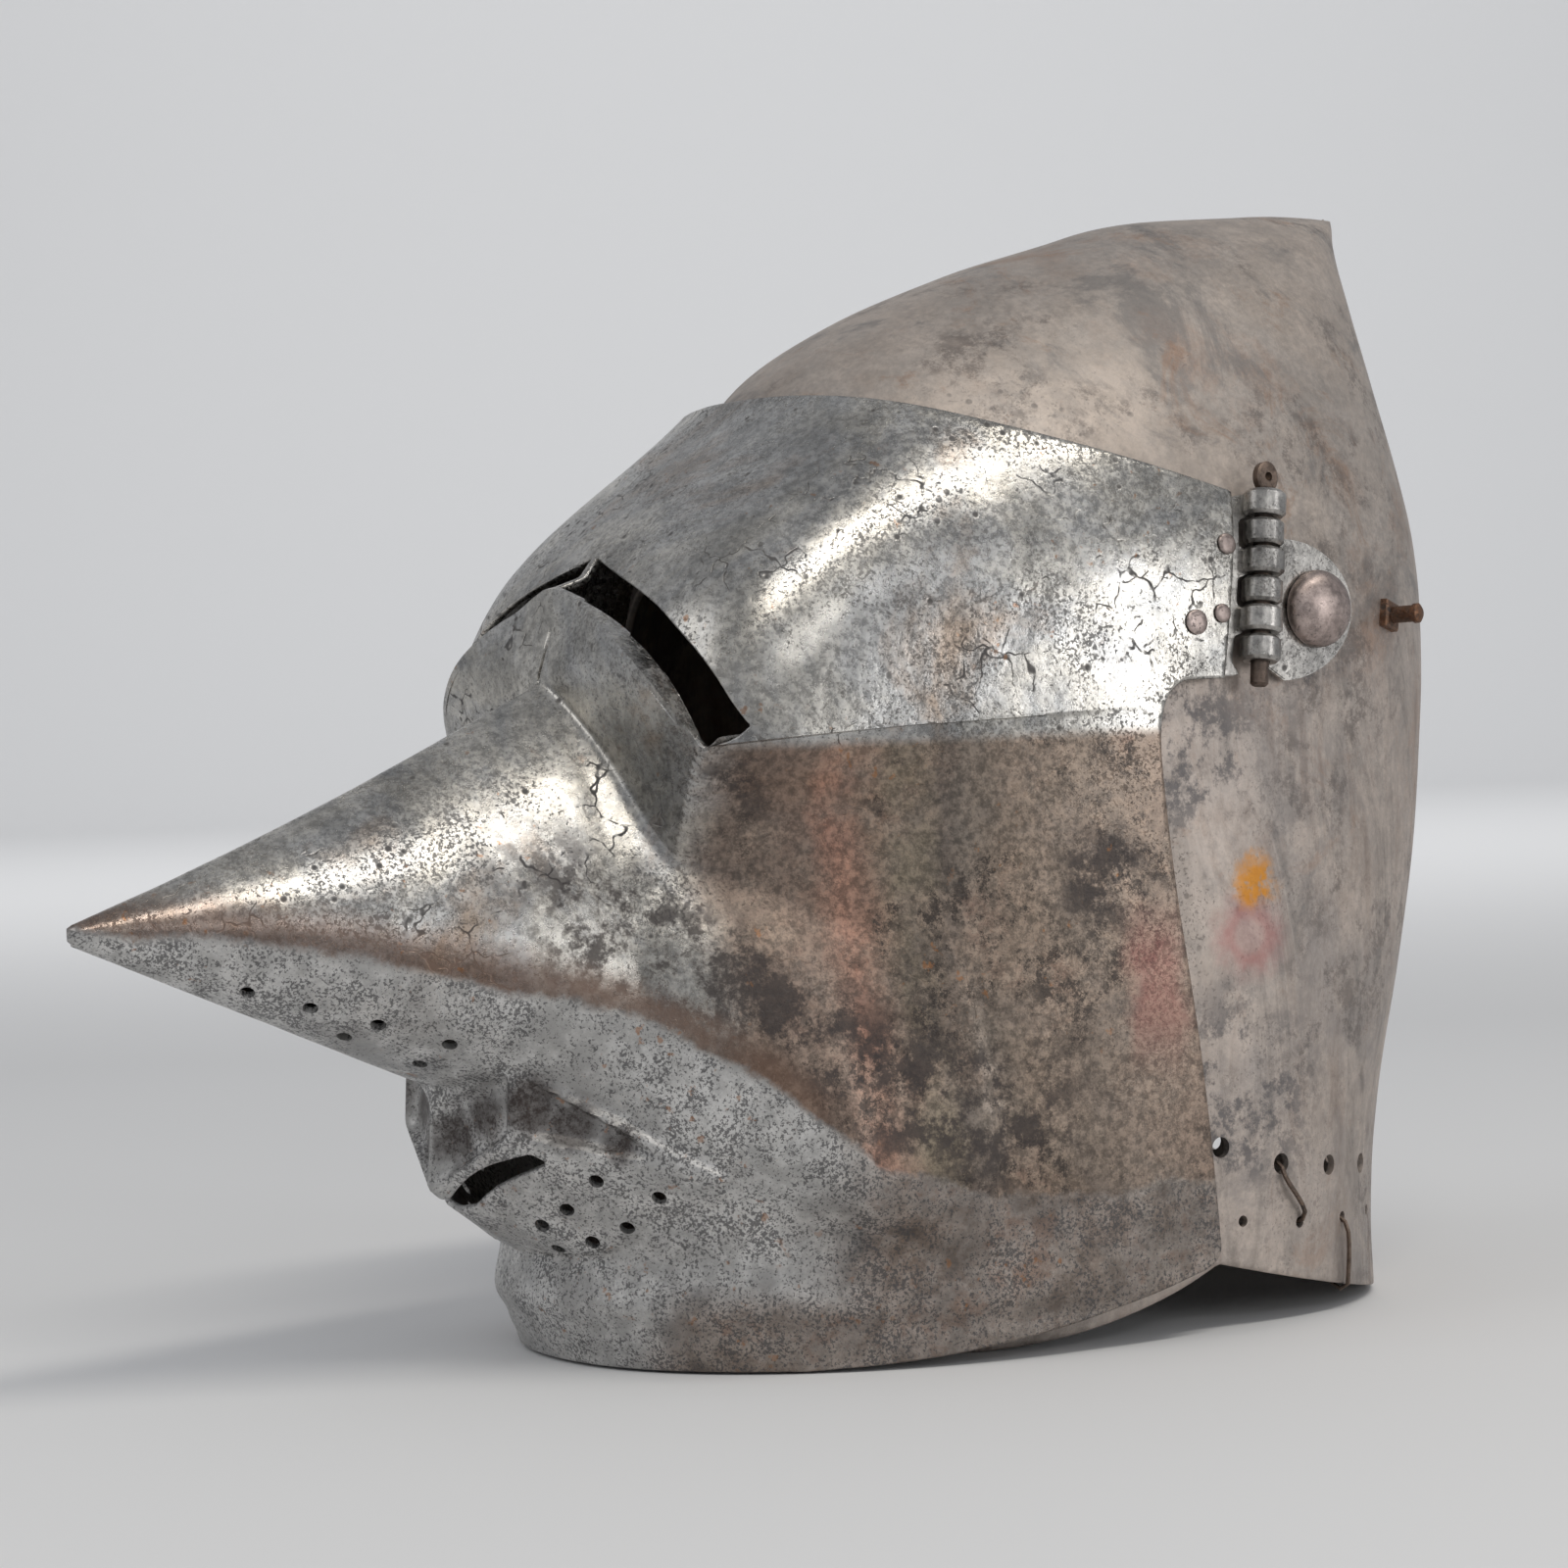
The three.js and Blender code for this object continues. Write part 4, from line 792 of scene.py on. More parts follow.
def visor_outline():
    """Side view of the visor: what lies inside is kept."""
    line = [(SNOUT_TIP_Y - 40, 0.6), (side_at(1.016, 0)[0], 0.6)]
    for middle, end in [
        ((0.567, 0.0086), (0.184, 0.0565)),
        ((0.118, 0.0615), (0.117, 0.078)),
        ((0.159, 0.2475), (0.2, 0.363)),
        ((0.224, 0.4455), (0.224, 0.5017)),
    ]:
        line.extend(bend(line[-1], side_at(*middle), side_at(*end)))
    foot, top = HINGE_FOOT_HEIGHT, HINGE_FOOT_HEIGHT + HINGE_LENGTH
    line.extend(bend(line[-1], (side_at(0.224, 0)[0], foot), (side_at(0.135, 0)[0], foot), 8))
    line.append((hinge_y(foot) - BARREL_NOTCH, foot))
    line.append((hinge_y(top) - BARREL_NOTCH, top))
    line.extend(bend(line[-1], side_at(0.404, 0.779), side_at(0.763, 0.825)))
    line.append((SNOUT_TIP_Y - 40, side_at(0, 0.825)[1] + 20))
    return np.array([tuple(p) for p in line])


# Upper edge of a sight: places along its ledge, and how far it rises from there
SIGHT_TOP_SHARES = [
    (0.0, (-0.13, 0.75, 0.56)),
    (0.25, (0.84, 0.29, 0.66)),
    (0.5, (0.99, 0.14, 0.82)),
    (0.75, (0.94, 0.21, 0.72)),
    (1.0, (0.56, 0.53, 0.37)),
]


# Front view, across and up: the sight's outer corner and the bulge of its outer end, and how far it reaches
# below the ledge and below the inner corner
SIGHT_CORNER, SIGHT_BULGE, UNDER_LEDGE, UNDER_INNER = (0.4, 0.8), (1.5, -2.0), (8.0, 15.0), (1.0, 8.0)


def on_ledge(share):
    return SIGHT_INNER + share * (SIGHT_OUTER - SIGHT_INNER)


def smooth_line(points, count=8):
    """A smooth curve through points of a plane."""
    points = np.asarray(points, float)
    wide = np.vstack([2 * points[0] - points[1], points, 2 * points[-1] - points[-2]])
    t = np.linspace(0, 1, count, endpoint=False)[:, None]
    curve = []
    for a, b, c, d in zip(wide[:-3], wide[1:-2], wide[2:-1], wide[3:]):
        slope_b, slope_c = 0.5 * (c - a), 0.5 * (d - b)
        blend = t * t * (3 - 2 * t)
        curve.append(b + blend * (c - b) + t * (1 - t) * ((1 - t) * slope_b - t * slope_c))
    return np.vstack([*curve, points[-1:]])


def sight_outline():
    """Front view of the left sight, reaching below the ledge, which cuts it off."""
    top = [on_ledge(share) + np.array(rise) * SIGHT_WIDTH for share, rise in SIGHT_TOP_SHARES]
    top = smooth_line([p[[0, 2]] for p in top])
    outer = SIGHT_OUTER[[0, 2]] + SIGHT_CORNER
    corner = bend(top[-1], 0.5 * (top[-1] + outer) + SIGHT_BULGE, outer, 6)
    low = ledge_arch(24)[-2:0:-1, [0, 2]] - UNDER_LEDGE
    return np.vstack([top, corner, low, SIGHT_INNER[[0, 2]] - UNDER_INNER])


def mouth_outline():
    """The mouth slot from below, a shallow arc behind the lip."""
    front = MOUTH_POINTS["lip_middle"][1] + 4.3
    near = bend((-29.5, front + 9.3), (0, front - 9.3), (29.5, front + 9.3), 16)
    far = bend((31.5, front + 13), (0, front - 4.6), (-31.5, front + 13), 16)
    return np.vstack([(-29.5, front + 9.3), near, (31.5, front + 13), far])


# Height of the lips left under the sights and over the mouth slot, and where the two are looked for
SIGHT_LIP, MOUTH_LIP = 0.6, 0.8
SIGHTS_ABOVE, MOUTH_HEIGHTS, MOUTH_BEFORE = 140, (22, 60), -70


def visor_keep(outline, sight, mouth):
    """A function that is positive at points of the visor that are kept."""
    def keep(p):
        x, y, z = p.T
        value = polygon_distance(p[:, 1:], outline)
        turns = polar(x, y)[0]
        in_sight = polygon_distance(np.column_stack([np.abs(x), z]), sight)
        over_ledge = z - polyline_height(LEDGE_LINE, turns) - SIGHT_LIP
        in_sight = np.minimum(in_sight, 0.75 * over_ledge)
        value = np.where((y < 0) & (z > SIGHTS_ABOVE), np.minimum(value, -in_sight), value)
        in_mouth = polygon_distance(p[:, :2], mouth)
        in_mouth = np.minimum(in_mouth, polyline_height(LIP_LINE, turns) - MOUTH_LIP - z)
        near_mouth = (z > MOUTH_HEIGHTS[0]) & (z < MOUTH_HEIGHTS[1]) & (y < MOUTH_BEFORE)
        return np.where(near_mouth, np.minimum(value, -in_mouth), value)
    return keep


# Breath holes of the left side: the way each group is drilled, and the places of its holes as shares
BREATH_DIAMETER, BREATH_REACH = 4.0, 7
BREATHS = [
    ((0.54, -0.4, -0.74), [(0.122, 2.029, 0.337), (0.166, 1.906, 0.323), (0.221, 1.776, 0.307),
                           (0.276, 1.637, 0.287)]),
    ((0.44, -0.4, -0.8), [(0.122, 1.816, 0.297), (0.155, 1.661, 0.267)]),
    ((0.58, -0.64, -0.51), [(0.42, 1.367, 0.168), (0.53, 1.269, 0.152), (0.309, 1.392, 0.142),
                            (0.409, 1.294, 0.125), (0.221, 1.416, 0.127), (0.309, 1.335, 0.112),
                            (0.188, 1.366, 0.104)]),
]


# Dents as (height, wave length, seed)
VISOR_DENTS = [(0.3, 34.0, 3), (0.1, 13.0, 4)]
SKULL_DENTS = [(0.4, 42.0, 7), (0.14, 15.0, 8)]


def dented(grid, dents, closed=False, fade=1.0):
    """The grid moved in and out by random waves."""
    relief = sum(height * value_noise(grid, wave, seed) for height, wave, seed in dents)
    return grid + grid_normals(grid, closed) * (relief * fade)[..., None]


def visor_shell_mesh(grid):
    keep = visor_keep(visor_outline(), sight_outline(), mouth_outline())
    mesh = mesh_of("visor_shell", *trimmed_shell(dented(grid, VISOR_DENTS), keep, VISOR_WALL))
    drills = [drill(face_place(*place), way, BREATH_REACH, BREATH_DIAMETER)
              for way, places in BREATHS for place in places]
    return sharpen(cut(mesh, both(drills)), SHEET_SHARP)


# Skull: the rim's rise and the places along it from front to back, and the face opening
RIM_RISE, RIM_FRONT, RIM_SWEEP, CREST, RIM_BEND, HEEL = 18.0, 4.0, 40.0, 74.0, 112.0, 160.0
FACE_OPENING_HALF, FACE_OPENING_TOP = 60.0, 205.0
# Where the skull's even rows end and where its dents fade out. The holes round the rim
CROWN_START, DENTS_END = 235, (285, 303)
HOLE_STEP, MAIL_HOLE, STITCH_HOLE, HOLE_REACH = 20.5, 5.5, 3.0, 6


def skull_ring(z, turns):
    """Points of the skull's outer face at one height; turn 0 is the left side and 90 degrees the back."""
    half, widest = skull_half_width(z), skull_place(z, 3)
    front, back = widest - skull_place(z, 2), skull_place(z, 4) - widest
    reach = np.where(np.sin(turns) > 0, back, front)
    x = half * signed_power(np.cos(turns), 2 / OVAL_POWER)
    y = widest + reach * signed_power(np.sin(turns), 2 / OVAL_POWER)
    return np.stack([x, y, np.broadcast_to(z, x.shape)], axis=-1)


def even_turns(count):
    """Turns that space a skull ring evenly."""
    fine = np.linspace(0, 2 * math.pi, 4001)
    ring = skull_ring(np.array(150.0), fine)
    walked = np.concatenate([[0], np.cumsum(np.linalg.norm(np.diff(ring, axis=0), axis=1))])
    return np.interp(np.arange(count) * walked[-1] / count, walked, fine)


def skull_grid():
    turns = even_turns(440)
    heights = spread((-1, 42, 1.3), (42, CROWN_START, 2.2))
    top = SKULL_HEIGHT - (SKULL_HEIGHT - CROWN_START) * np.linspace(1, 0, 46)[1:] ** 2
    rows = [skull_ring(np.array(z), turns) for z in [*heights, *top]]
    last, crown = rows[-1], rows[-1].mean(axis=0)
    for share in (0.75, 0.5, 0.25, 0.0):
        rows.append(crown + (last - crown) * share + (0, 0, 0.9 * (1 - share * share)))
    return np.array(rows)


def rim_outline():
    """Side view of the skull above its rim."""
    line = [(-400, 0), (RIM_FRONT, 0)]
    line.extend(bend(line[-1], (RIM_SWEEP, 0.055 * RIM_RISE), (CREST, RIM_RISE)))
    line.extend(bend(line[-1], (RIM_BEND, 0.45 * RIM_RISE), (HEEL, 0)))
    line.extend([(400, 0), (400, 500), (-400, 500)])
    return np.array([tuple(p) for p in line])


def skull_keep(outline):
    """A function that is positive at points of the skull that are kept."""
    def keep(p):
        value = polygon_distance(p[:, 1:], outline)
        middle = FACE_OPENING_TOP - FACE_OPENING_HALF
        outside = np.hypot(p[:, 0], np.maximum(p[:, 2] - middle, 0)) - FACE_OPENING_HALF
        return np.where(p[:, 1] < MID_Y, np.minimum(value, outside), value)
    return keep


def rim_hole_places(start_share, count, front_height, drop):
    """Points and outward directions of the holes round the left side of the rim."""
    places = []
    for k in range(count):
        z = np.array(front_height - drop * math.sqrt(k / 6))
        turns = np.linspace(-0.06, 2.2, 4000)
        ring = skull_ring(z, turns)
        walked = np.concatenate([[0], np.cumsum(np.linalg.norm(np.diff(ring, axis=0), axis=1))])
        turn = np.interp((start_share + k) * HOLE_STEP, walked, turns)
        at, ahead = skull_ring(z, np.array([turn, turn + 0.01]))
        above = skull_ring(z + 0.5, np.array([turn]))[0]
        out = np.cross(ahead - at, above - at)
        places.append((at, out / np.linalg.norm(out)))
    return places


MAIL_HOLES = rim_hole_places(0.0, 8, 48.5, 15.0)
STITCH_HOLES = rim_hole_places(0.33, 7, 28.5, 6.0)


def skull_bowl_mesh():
    grid = skull_grid()
    grid = dented(grid, SKULL_DENTS, True, 1 - smooth_step(grid[..., 2], *DENTS_END))
    mesh = mesh_of("skull_bowl", *trimmed_shell(grid, skull_keep(rim_outline()), SKULL_WALL, closed=True))
    holes = [drill(at, out, HOLE_REACH, diameter)
             for places, diameter in ((MAIL_HOLES, MAIL_HOLE), (STITCH_HOLES, STITCH_HOLE))
             for at, out in places]
    return sharpen(cut(mesh, both(holes)), SHEET_SHARP)


# Scale, detail, roughness and distortion of random clouds where they aren't given
NOISE_DEFAULTS = (1.0, 4.0, 0.55, 0.0)


class Look:
    """Shader nodes of one material, joined by plain calls. Lengths are in metres."""

    def __init__(self, name):
        self.material = bpy.data.materials.new(name)
        self.material.use_nodes = True
        self.nodes, self.links = self.material.node_tree.nodes, self.material.node_tree.links
        self.shader = self.nodes["Principled BSDF"]
        self.place = self.nodes.new("ShaderNodeTexCoord").outputs["Object"]
        split = self.nodes.new("ShaderNodeSeparateXYZ")
        self.links.new(self.place, split.inputs[0])
        self.x, self.y, self.z = split.outputs

    def feed(self, socket, value):
        if isinstance(value, bpy.types.NodeSocket):
            self.links.new(value, socket)
        elif isinstance(value, tuple) and len(value) == 3 and socket.type == "RGBA":
            socket.default_value = (*value, 1)
        else:
            socket.default_value = value

    def scaled(self, scale):
        node = self.nodes.new("ShaderNodeMapping")
        node.inputs["Scale"].default_value = scale
        self.links.new(self.place, node.inputs["Vector"])
        return node.outputs[0]

    def noise(self, *settings, place=None):
        """Random clouds, set by scale, detail, roughness and distortion."""
        node = self.nodes.new("ShaderNodeTexNoise")
        self.links.new(self.place if place is None else place, node.inputs["Vector"])
        settings = (*settings, *NOISE_DEFAULTS[len(settings):])
        for key, value in zip(("Scale", "Detail", "Roughness", "Distortion"), settings):
            node.inputs[key].default_value = value
        return node.outputs["Fac"]

    def patches(self, settings, low, high, start=0.0, end=1.0):
        """Random clouds brought smoothly from start to end between two of their values."""
        return self.fade(self.noise(*settings), low, high, start, end)

    def cells(self, scale, feature="F1", place=None):
        node = self.nodes.new("ShaderNodeTexVoronoi")
        node.feature = feature
        self.links.new(self.place if place is None else place, node.inputs["Vector"])
        node.inputs["Scale"].default_value = scale
        return node.outputs["Distance"]

    def math(self, operation, a, b=0.0, clamp=False):
        node = self.nodes.new("ShaderNodeMath")
        node.operation, node.use_clamp = operation, clamp
        self.feed(node.inputs[0], a)
        self.feed(node.inputs[1], b)
        return node.outputs[0]

    def fade(self, value, low, high, start=0.0, end=1.0):
        """A value brought smoothly from start to end between two others."""
        node = self.nodes.new("ShaderNodeMapRange")
        node.interpolation_type = "SMOOTHSTEP"
        for socket, number in zip(list(node.inputs)[:5], (value, low, high, start, end)):
            self.feed(socket, number)
        return node.outputs[0]

    def mix(self, share, a, b, kind="MIX"):
        node = self.nodes.new("ShaderNodeMix")
        node.data_type, node.blend_type, node.clamp_factor = "RGBA", kind, True
        for socket, value in ((node.inputs[0], share), (node.inputs[6], a), (node.inputs[7], b)):
            self.feed(socket, value)
        return node.outputs[2]

    def ramp(self, value, stops):
        node = self.nodes.new("ShaderNodeValToRGB")
        points = node.color_ramp.elements
        for k, (place, colour) in enumerate(stops):
            point = points[k] if k < 2 else points.new(place)
            point.position, point.color = place, (*colour, 1)
        self.links.new(value, node.inputs[0])
        return node.outputs[0]

    def ragged(self, value, reach, wave=34.0):
        """A value shaken by up to half a reach each way."""
        shaken = self.math("MULTIPLY_ADD", self.noise(wave, 5.0, 0.72), reach)
        self.feed(shaken.node.inputs[2], self.math("SUBTRACT", value, 0.5 * reach))
        return shaken

    def band(self, value, low, high, soft=0.004):
        """One between two values in metres, with soft ends."""
        rising = self.fade(value, low - soft, low + soft)
        return self.math("MULTIPLY", rising, self.fade(value, high - soft, high + soft, 1.0, 0.0))

    def both(self, *shares):
        return functools.reduce(lambda a, b: self.math("MULTIPLY", a, b), shares)

    def most(self, *shares):
        return functools.reduce(lambda a, b: self.math("MAXIMUM", a, b), shares)

    def paint(self, colour, tone, *shares):
        """A tone laid over a colour where all the shares are high."""
        return self.mix(self.both(*shares), colour, tone)

    def grained(self, colour, grain):
        """A colour made darker and lighter by a grain."""
        node = self.nodes.new("ShaderNodeCombineColor")
        for socket in node.inputs:
            self.links.new(grain, socket)
        return self.mix(1.0, colour, node.outputs[0], "MULTIPLY")

    def spot(self, centre, radius, edge=0.004, wobble=0.004, folded=False):
        """One inside a blot round a point in millimetres, zero outside it; folded blots are on both sides."""
        place = self.place
        if folded:
            fold = self.nodes.new("ShaderNodeVectorMath")
            fold.operation = "ABSOLUTE"
            self.links.new(self.place, fold.inputs[0])
            place, centre = fold.outputs[0], [abs(c) for c in centre]
        node = self.nodes.new("ShaderNodeVectorMath")
        node.operation = "DISTANCE"
        self.links.new(place, node.inputs[0])
        node.inputs[1].default_value = tuple(MM * c for c in centre)
        ragged = self.math("MULTIPLY_ADD", self.noise(120.0, 4.0, 0.7), 2 * wobble)
        self.feed(ragged.node.inputs[2], node.outputs["Value"])
        radius = radius * MM + wobble
        return self.fade(ragged, radius - edge, radius + edge, 1.0, 0.0)

    def along(self, value, stops):
        """A colour read by place along an axis, from stops of (millimetres, colour)."""
        first, last = stops[0][0], stops[-1][0]
        share = self.fade(value, first * MM, last * MM)
        share.node.interpolation_type = "LINEAR"
        return self.ramp(share, [((place - first) / (last - first), colour) for place, colour in stops])

    def bump(self, height, distance, strength):
        node = self.nodes.new("ShaderNodeBump")
        node.inputs["Distance"].default_value = distance
        node.inputs["Strength"].default_value = strength
        self.links.new(height, node.inputs["Height"])
        self.links.new(node.outputs[0], self.shader.inputs["Normal"])

    def finish(self, colour, roughness, metallic):
        for key, value in (("Base Color", colour), ("Roughness", roughness), ("Metallic", metallic)):
            self.feed(self.shader.inputs[key], value)
        return self.material


# Colours of old polished steel, of the marks on it, and of painted reflections, painted shade and painted
# light
PALE = (0.54, 0.515, 0.47)
COOL = (0.29, 0.295, 0.3)
WARM = (0.37, 0.3, 0.245)
SOOT = (0.03, 0.026, 0.026)
# Warm tint of the painted reflection streaks on the cheek
CHEEK_REFLECTION_WARMTH = (1.03, 0.91, 0.8)
FLECK = (0.05, 0.042, 0.038)
CHAR = (0.045, 0.036, 0.034)
PINK = (0.4, 0.14, 0.12)
# Painted reflection: dark brown just above the snout's ridge
RIDGE_REFLECTION_BROWN = (0.19, 0.115, 0.08)
# Painted light: pale tone below the ridge, for light thrown up from the floor
UNDERSIDE_PAINTED_LIGHT = (0.6, 0.59, 0.575)
SALT = (0.075, 0.073, 0.075)
# Painted shade in the hollows beside the mouth
PAINTED_MOUTH_SHADE_TONE = (0.04, 0.028, 0.024)
RUST = (0.32, 0.14, 0.05)
SKULL_GREY = (0.2, 0.19, 0.185)
SKULL_BROWN = (0.33, 0.2, 0.13)
STAIN = (0.13, 0.11, 0.1)
CLOUD = (0.11, 0.105, 0.11)
RED = (0.4, 0.1, 0.1)
ORANGE = (0.65, 0.27, 0.02)
# Tones of each steel, by how its random clouds run
VISOR_TONES = [(0.3, COOL), (0.45, PALE), (0.54, (0.43, 0.425, 0.415)), (0.66, WARM)]
FADED_TONES = [
    (0.36, (0.1, 0.083, 0.074)), (0.48, (0.2, 0.165, 0.14)), (0.56, (0.29, 0.235, 0.195)),
    (0.66, (0.2, 0.13, 0.1)),
]
LOW_TONES = [
    (0.38, (0.075, 0.056, 0.046)), (0.47, (0.2, 0.15, 0.12)), (0.56, (0.33, 0.28, 0.245)),
    (0.64, (0.24, 0.16, 0.12)),
]
SKULL_TONES = [
    (0.32, (0.3, 0.275, 0.26)), (0.44, (0.5, 0.43, 0.375)), (0.55, (0.42, 0.375, 0.34)),
    (0.66, (0.37, 0.27, 0.215)),
]
STREAK_TONES = [(0.36, (0.2, 0.18, 0.17)), (0.5, (0.6, 0.52, 0.47)), (0.64, (0.32, 0.24, 0.2))]
HINGE_TONES = [(0.3, (0.3, 0.29, 0.28)), (0.5, (0.5, 0.48, 0.45)), (0.66, (0.34, 0.25, 0.2))]
RIVET_TONES = [(0.3, (0.3, 0.24, 0.22)), (0.5, (0.46, 0.38, 0.35)), (0.66, (0.3, 0.2, 0.16))]
IRON_TONES = [(0.3, (0.1, 0.08, 0.07)), (0.5, (0.2, 0.15, 0.12)), (0.66, (0.24, 0.13, 0.08))]


def bent_place(look, scale, reach):
    """Places shaken by random clouds."""
    wander = look.nodes.new("ShaderNodeTexNoise")
    wander.inputs["Scale"].default_value = scale
    look.links.new(look.place, wander.inputs["Vector"])
    bent = look.nodes.new("ShaderNodeVectorMath")
    bent.operation = "MULTIPLY_ADD"
    look.links.new(wander.outputs["Color"], bent.inputs[0])
    bent.inputs[1].default_value = (reach, reach, reach)
    look.links.new(look.place, bent.inputs[2])
    return bent.outputs[0]


def worn_steel(look, tones, pit_level, crack_level, speckle=0.5):
    """Clouded steel with fine mottling, dark pits and a few cracks: colour, pits and mottling."""
    colour = look.ramp(look.noise(15.0, 7.0, 0.68, 0.5), tones)
    mottle = look.noise(430.0, 4.0, 0.8)
    grain = look.both(look.patches((52.0, 6.0, 0.78), 0.36, 0.64, 0.72, 1.16),
                      look.fade(mottle, 0.36, 0.64, 0.76, 1.16))
    colour = look.grained(colour, grain)
    where = look.noise(34.0, 4.0, 0.65)
    limit = look.fade(where, 0.38, 0.62, pit_level, pit_level - 0.14)
    pits = look.math("SUBTRACT", look.noise(1050.0, 2.0, 0.7), limit)
    pits = look.both(look.fade(pits, 0.0, 0.04), speckle)
    dots = look.both(look.fade(look.cells(170.0), 0.09, 0.19, 1.0, 0.0), look.fade(where, 0.47, 0.57))
    seams = look.cells(95.0, "DISTANCE_TO_EDGE", bent_place(look, 110.0, 0.012))
    cracks = look.both(look.fade(seams, 0.01, 0.03, 1.0, 0.0),
                       look.patches((30.0, 5.0, 0.75), crack_level, crack_level + 0.06))
    pits = look.math("MAXIMUM", pits, look.most(dots, cracks), True)
    return look.paint(colour, SOOT, pits, 0.85), pits, mottle


def steel_surface(look, colour, pits, mottle, polish, dull=None):
    """Roughness, metal and relief that follow the pits and mottling."""
    roughness = look.fade(mottle, 0.3, 0.7, polish, polish + 0.14)
    roughness = look.math("ADD", roughness, look.both(pits, 0.3))
    metallic = look.math("SUBTRACT", 1.0, look.both(pits, 0.75), True)
    if dull:
        roughness = look.math("ADD", roughness, look.both(dull, 0.2))
        metallic = look.math("SUBTRACT", metallic, look.both(dull, 0.5), True)
    height = look.math("MULTIPLY_ADD", look.noise(75.0, 3.0, 0.5), 0.9)
    hollow = look.math("MULTIPLY_ADD", pits, -0.28)
    look.feed(hollow.node.inputs[2], look.both(mottle, 0.22))
    look.feed(height.node.inputs[2], hollow)
    look.bump(height, 0.00042, 0.8)
    return look.finish(colour, roughness, metallic)


# Height of the ridge along the snout and cheek, by place from front to back, and the height that reads as one
RIDGE_RUN = [(-204, 118.5), (-170, 115), (-118, 103), (-75, 90), (-52, 74), (-27, 52), (5, 40)]
RIDGE_SPAN = 0.2
# Painted reflections: streaks down the cheek that stand in for the surroundings mirrored in it, by place from
# front to back
CHEEK_REFLECTION_STREAKS = [
    (-64, (0.22, 0.175, 0.15)), (-50, (0.16, 0.125, 0.11)), (-34, (0.21, 0.155, 0.13)),
    (-27, (0.38, 0.215, 0.165)), (-21, (0.28, 0.185, 0.145)), (-14, (0.2, 0.18, 0.135)),
    (-6, (0.2, 0.18, 0.14)), (-2, (0.09, 0.078, 0.072)), (3, (0.17, 0.155, 0.14)),
    (14, (0.24, 0.2, 0.165)), (34, (0.22, 0.19, 0.165)), (60, (0.27, 0.22, 0.19)),
]
# Marks as point, radius, softness and raggedness: painted shade in the hollows round the mouth, charred on the
# cheek, grey on the skull
PAINTED_MOUTH_SHADE_SPOTS = [
    ((31.5, -96.0, 70.0), 7.5), ((37.0, -88.0, 65.5), 6.5), ((45.0, -79.0, 60.5), 4.5),
    ((8.0, -107.0, 62.0), 7.5), ((17.0, -103.0, 67.0), 6.5),
]
CHARRED = [((92.0, 40.0, 121.0), 13.0, 0.006, 0.009), ((62.0, -52.0, 148.0), 9.0, 0.006, 0.008)]
SKULL_CLOUDS = [
    ((91.0, 72.0, 152.0), 24.0, 0.012, 0.01), ((88.0, 84.0, 62.0), 26.0, 0.012, 0.01),
    ((90.0, 112.0, 186.0), 22.0, 0.01, 0.008),
]
RED_AT, ORANGE_AT = (89.5, 88.0, 103.0), (89.0, 91.0, 117.0)


def above_ridge(look):
    """Height over the ridge along the snout and cheek."""
    stops = [(y, (z * MM / RIDGE_SPAN,) * 3) for y, z in RIDGE_RUN]
    return look.math("SUBTRACT", look.z, look.both(look.along(look.y, stops), RIDGE_SPAN))


def cheek_reflections_and_flecks(look, colour, cheek, mottle):
    """Painted reflections: brown streaks down the cheek standing in for mirrored surroundings, faded in
    places, with dark flecks.
    """
    # Painted reflection: the streaks' colour stands in for the surroundings mirrored in the cheek
    streaks = look.along(look.ragged(look.y, 0.016, 30.0), CHEEK_REFLECTION_STREAKS)
    faded = look.ramp(look.noise(48.0, 6.0, 0.75), FADED_TONES)
    streaks = look.mix(look.patches((26.0, 4.0, 0.7), 0.4, 0.62, 0.15, 0.85), streaks, faded)
    streaks = look.grained(streaks, look.fade(mottle, 0.36, 0.64, 0.6, 1.4))
    streaks = look.mix(1.0, streaks, CHEEK_REFLECTION_WARMTH, "MULTIPLY")
    colour = look.paint(colour, streaks, cheek, 0.86)
    where = look.patches((24.0, 4.0, 0.7), 0.44, 0.56, 0.05, 1.0)
    return look.paint(colour, FLECK, cheek, look.patches((115.0, 7.0, 0.9), 0.5, 0.58), where, 0.85)


def charred_marks(look, ragged, far_y):
    """Black patches above the ridge and at two places of the cheek."""
    zone = look.both(look.band(ragged, 0.003, 0.042, 0.01), look.band(far_y, -0.1, 0.03, 0.014))
    zone = look.most(zone, *[look.spot(*mark) for mark in CHARRED])
    return look.both(zone, look.patches((70.0, 6.0, 0.8), 0.44, 0.56))


def lit_underside_colours(look, colour, under, far_y, far_z):
    """Painted light below the ridge: pale steel standing in for light from the floor, brown towards its end
    and along the rim, with fine dark grains.
    """
    rim = look.both(look.fade(far_z, 0.026, 0.014, 0.0, 1.0), look.fade(look.y, -0.07, -0.06))
    brown = look.most(look.fade(far_y, -0.045, -0.02), rim)
    # Painted light: the pale tone below the ridge stands in for light thrown up from the floor
    painted_floor_light = look.mix(brown, UNDERSIDE_PAINTED_LIGHT, look.ramp(look.noise(40.0, 6.0, 0.75), LOW_TONES))
    painted_floor_light = look.grained(painted_floor_light, look.patches((60.0, 5.0, 0.75), 0.36, 0.64, 0.62, 1.15))
    colour = look.paint(colour, painted_floor_light, under, 0.85)
    salt = look.math("ADD", look.noise(1150.0, 2.0, 0.8), look.both(look.noise(62.0, 6.0, 0.8), 0.8))
    return look.paint(colour, SALT, under, look.fade(salt, 0.9, 1.0, 0.0, 0.8))


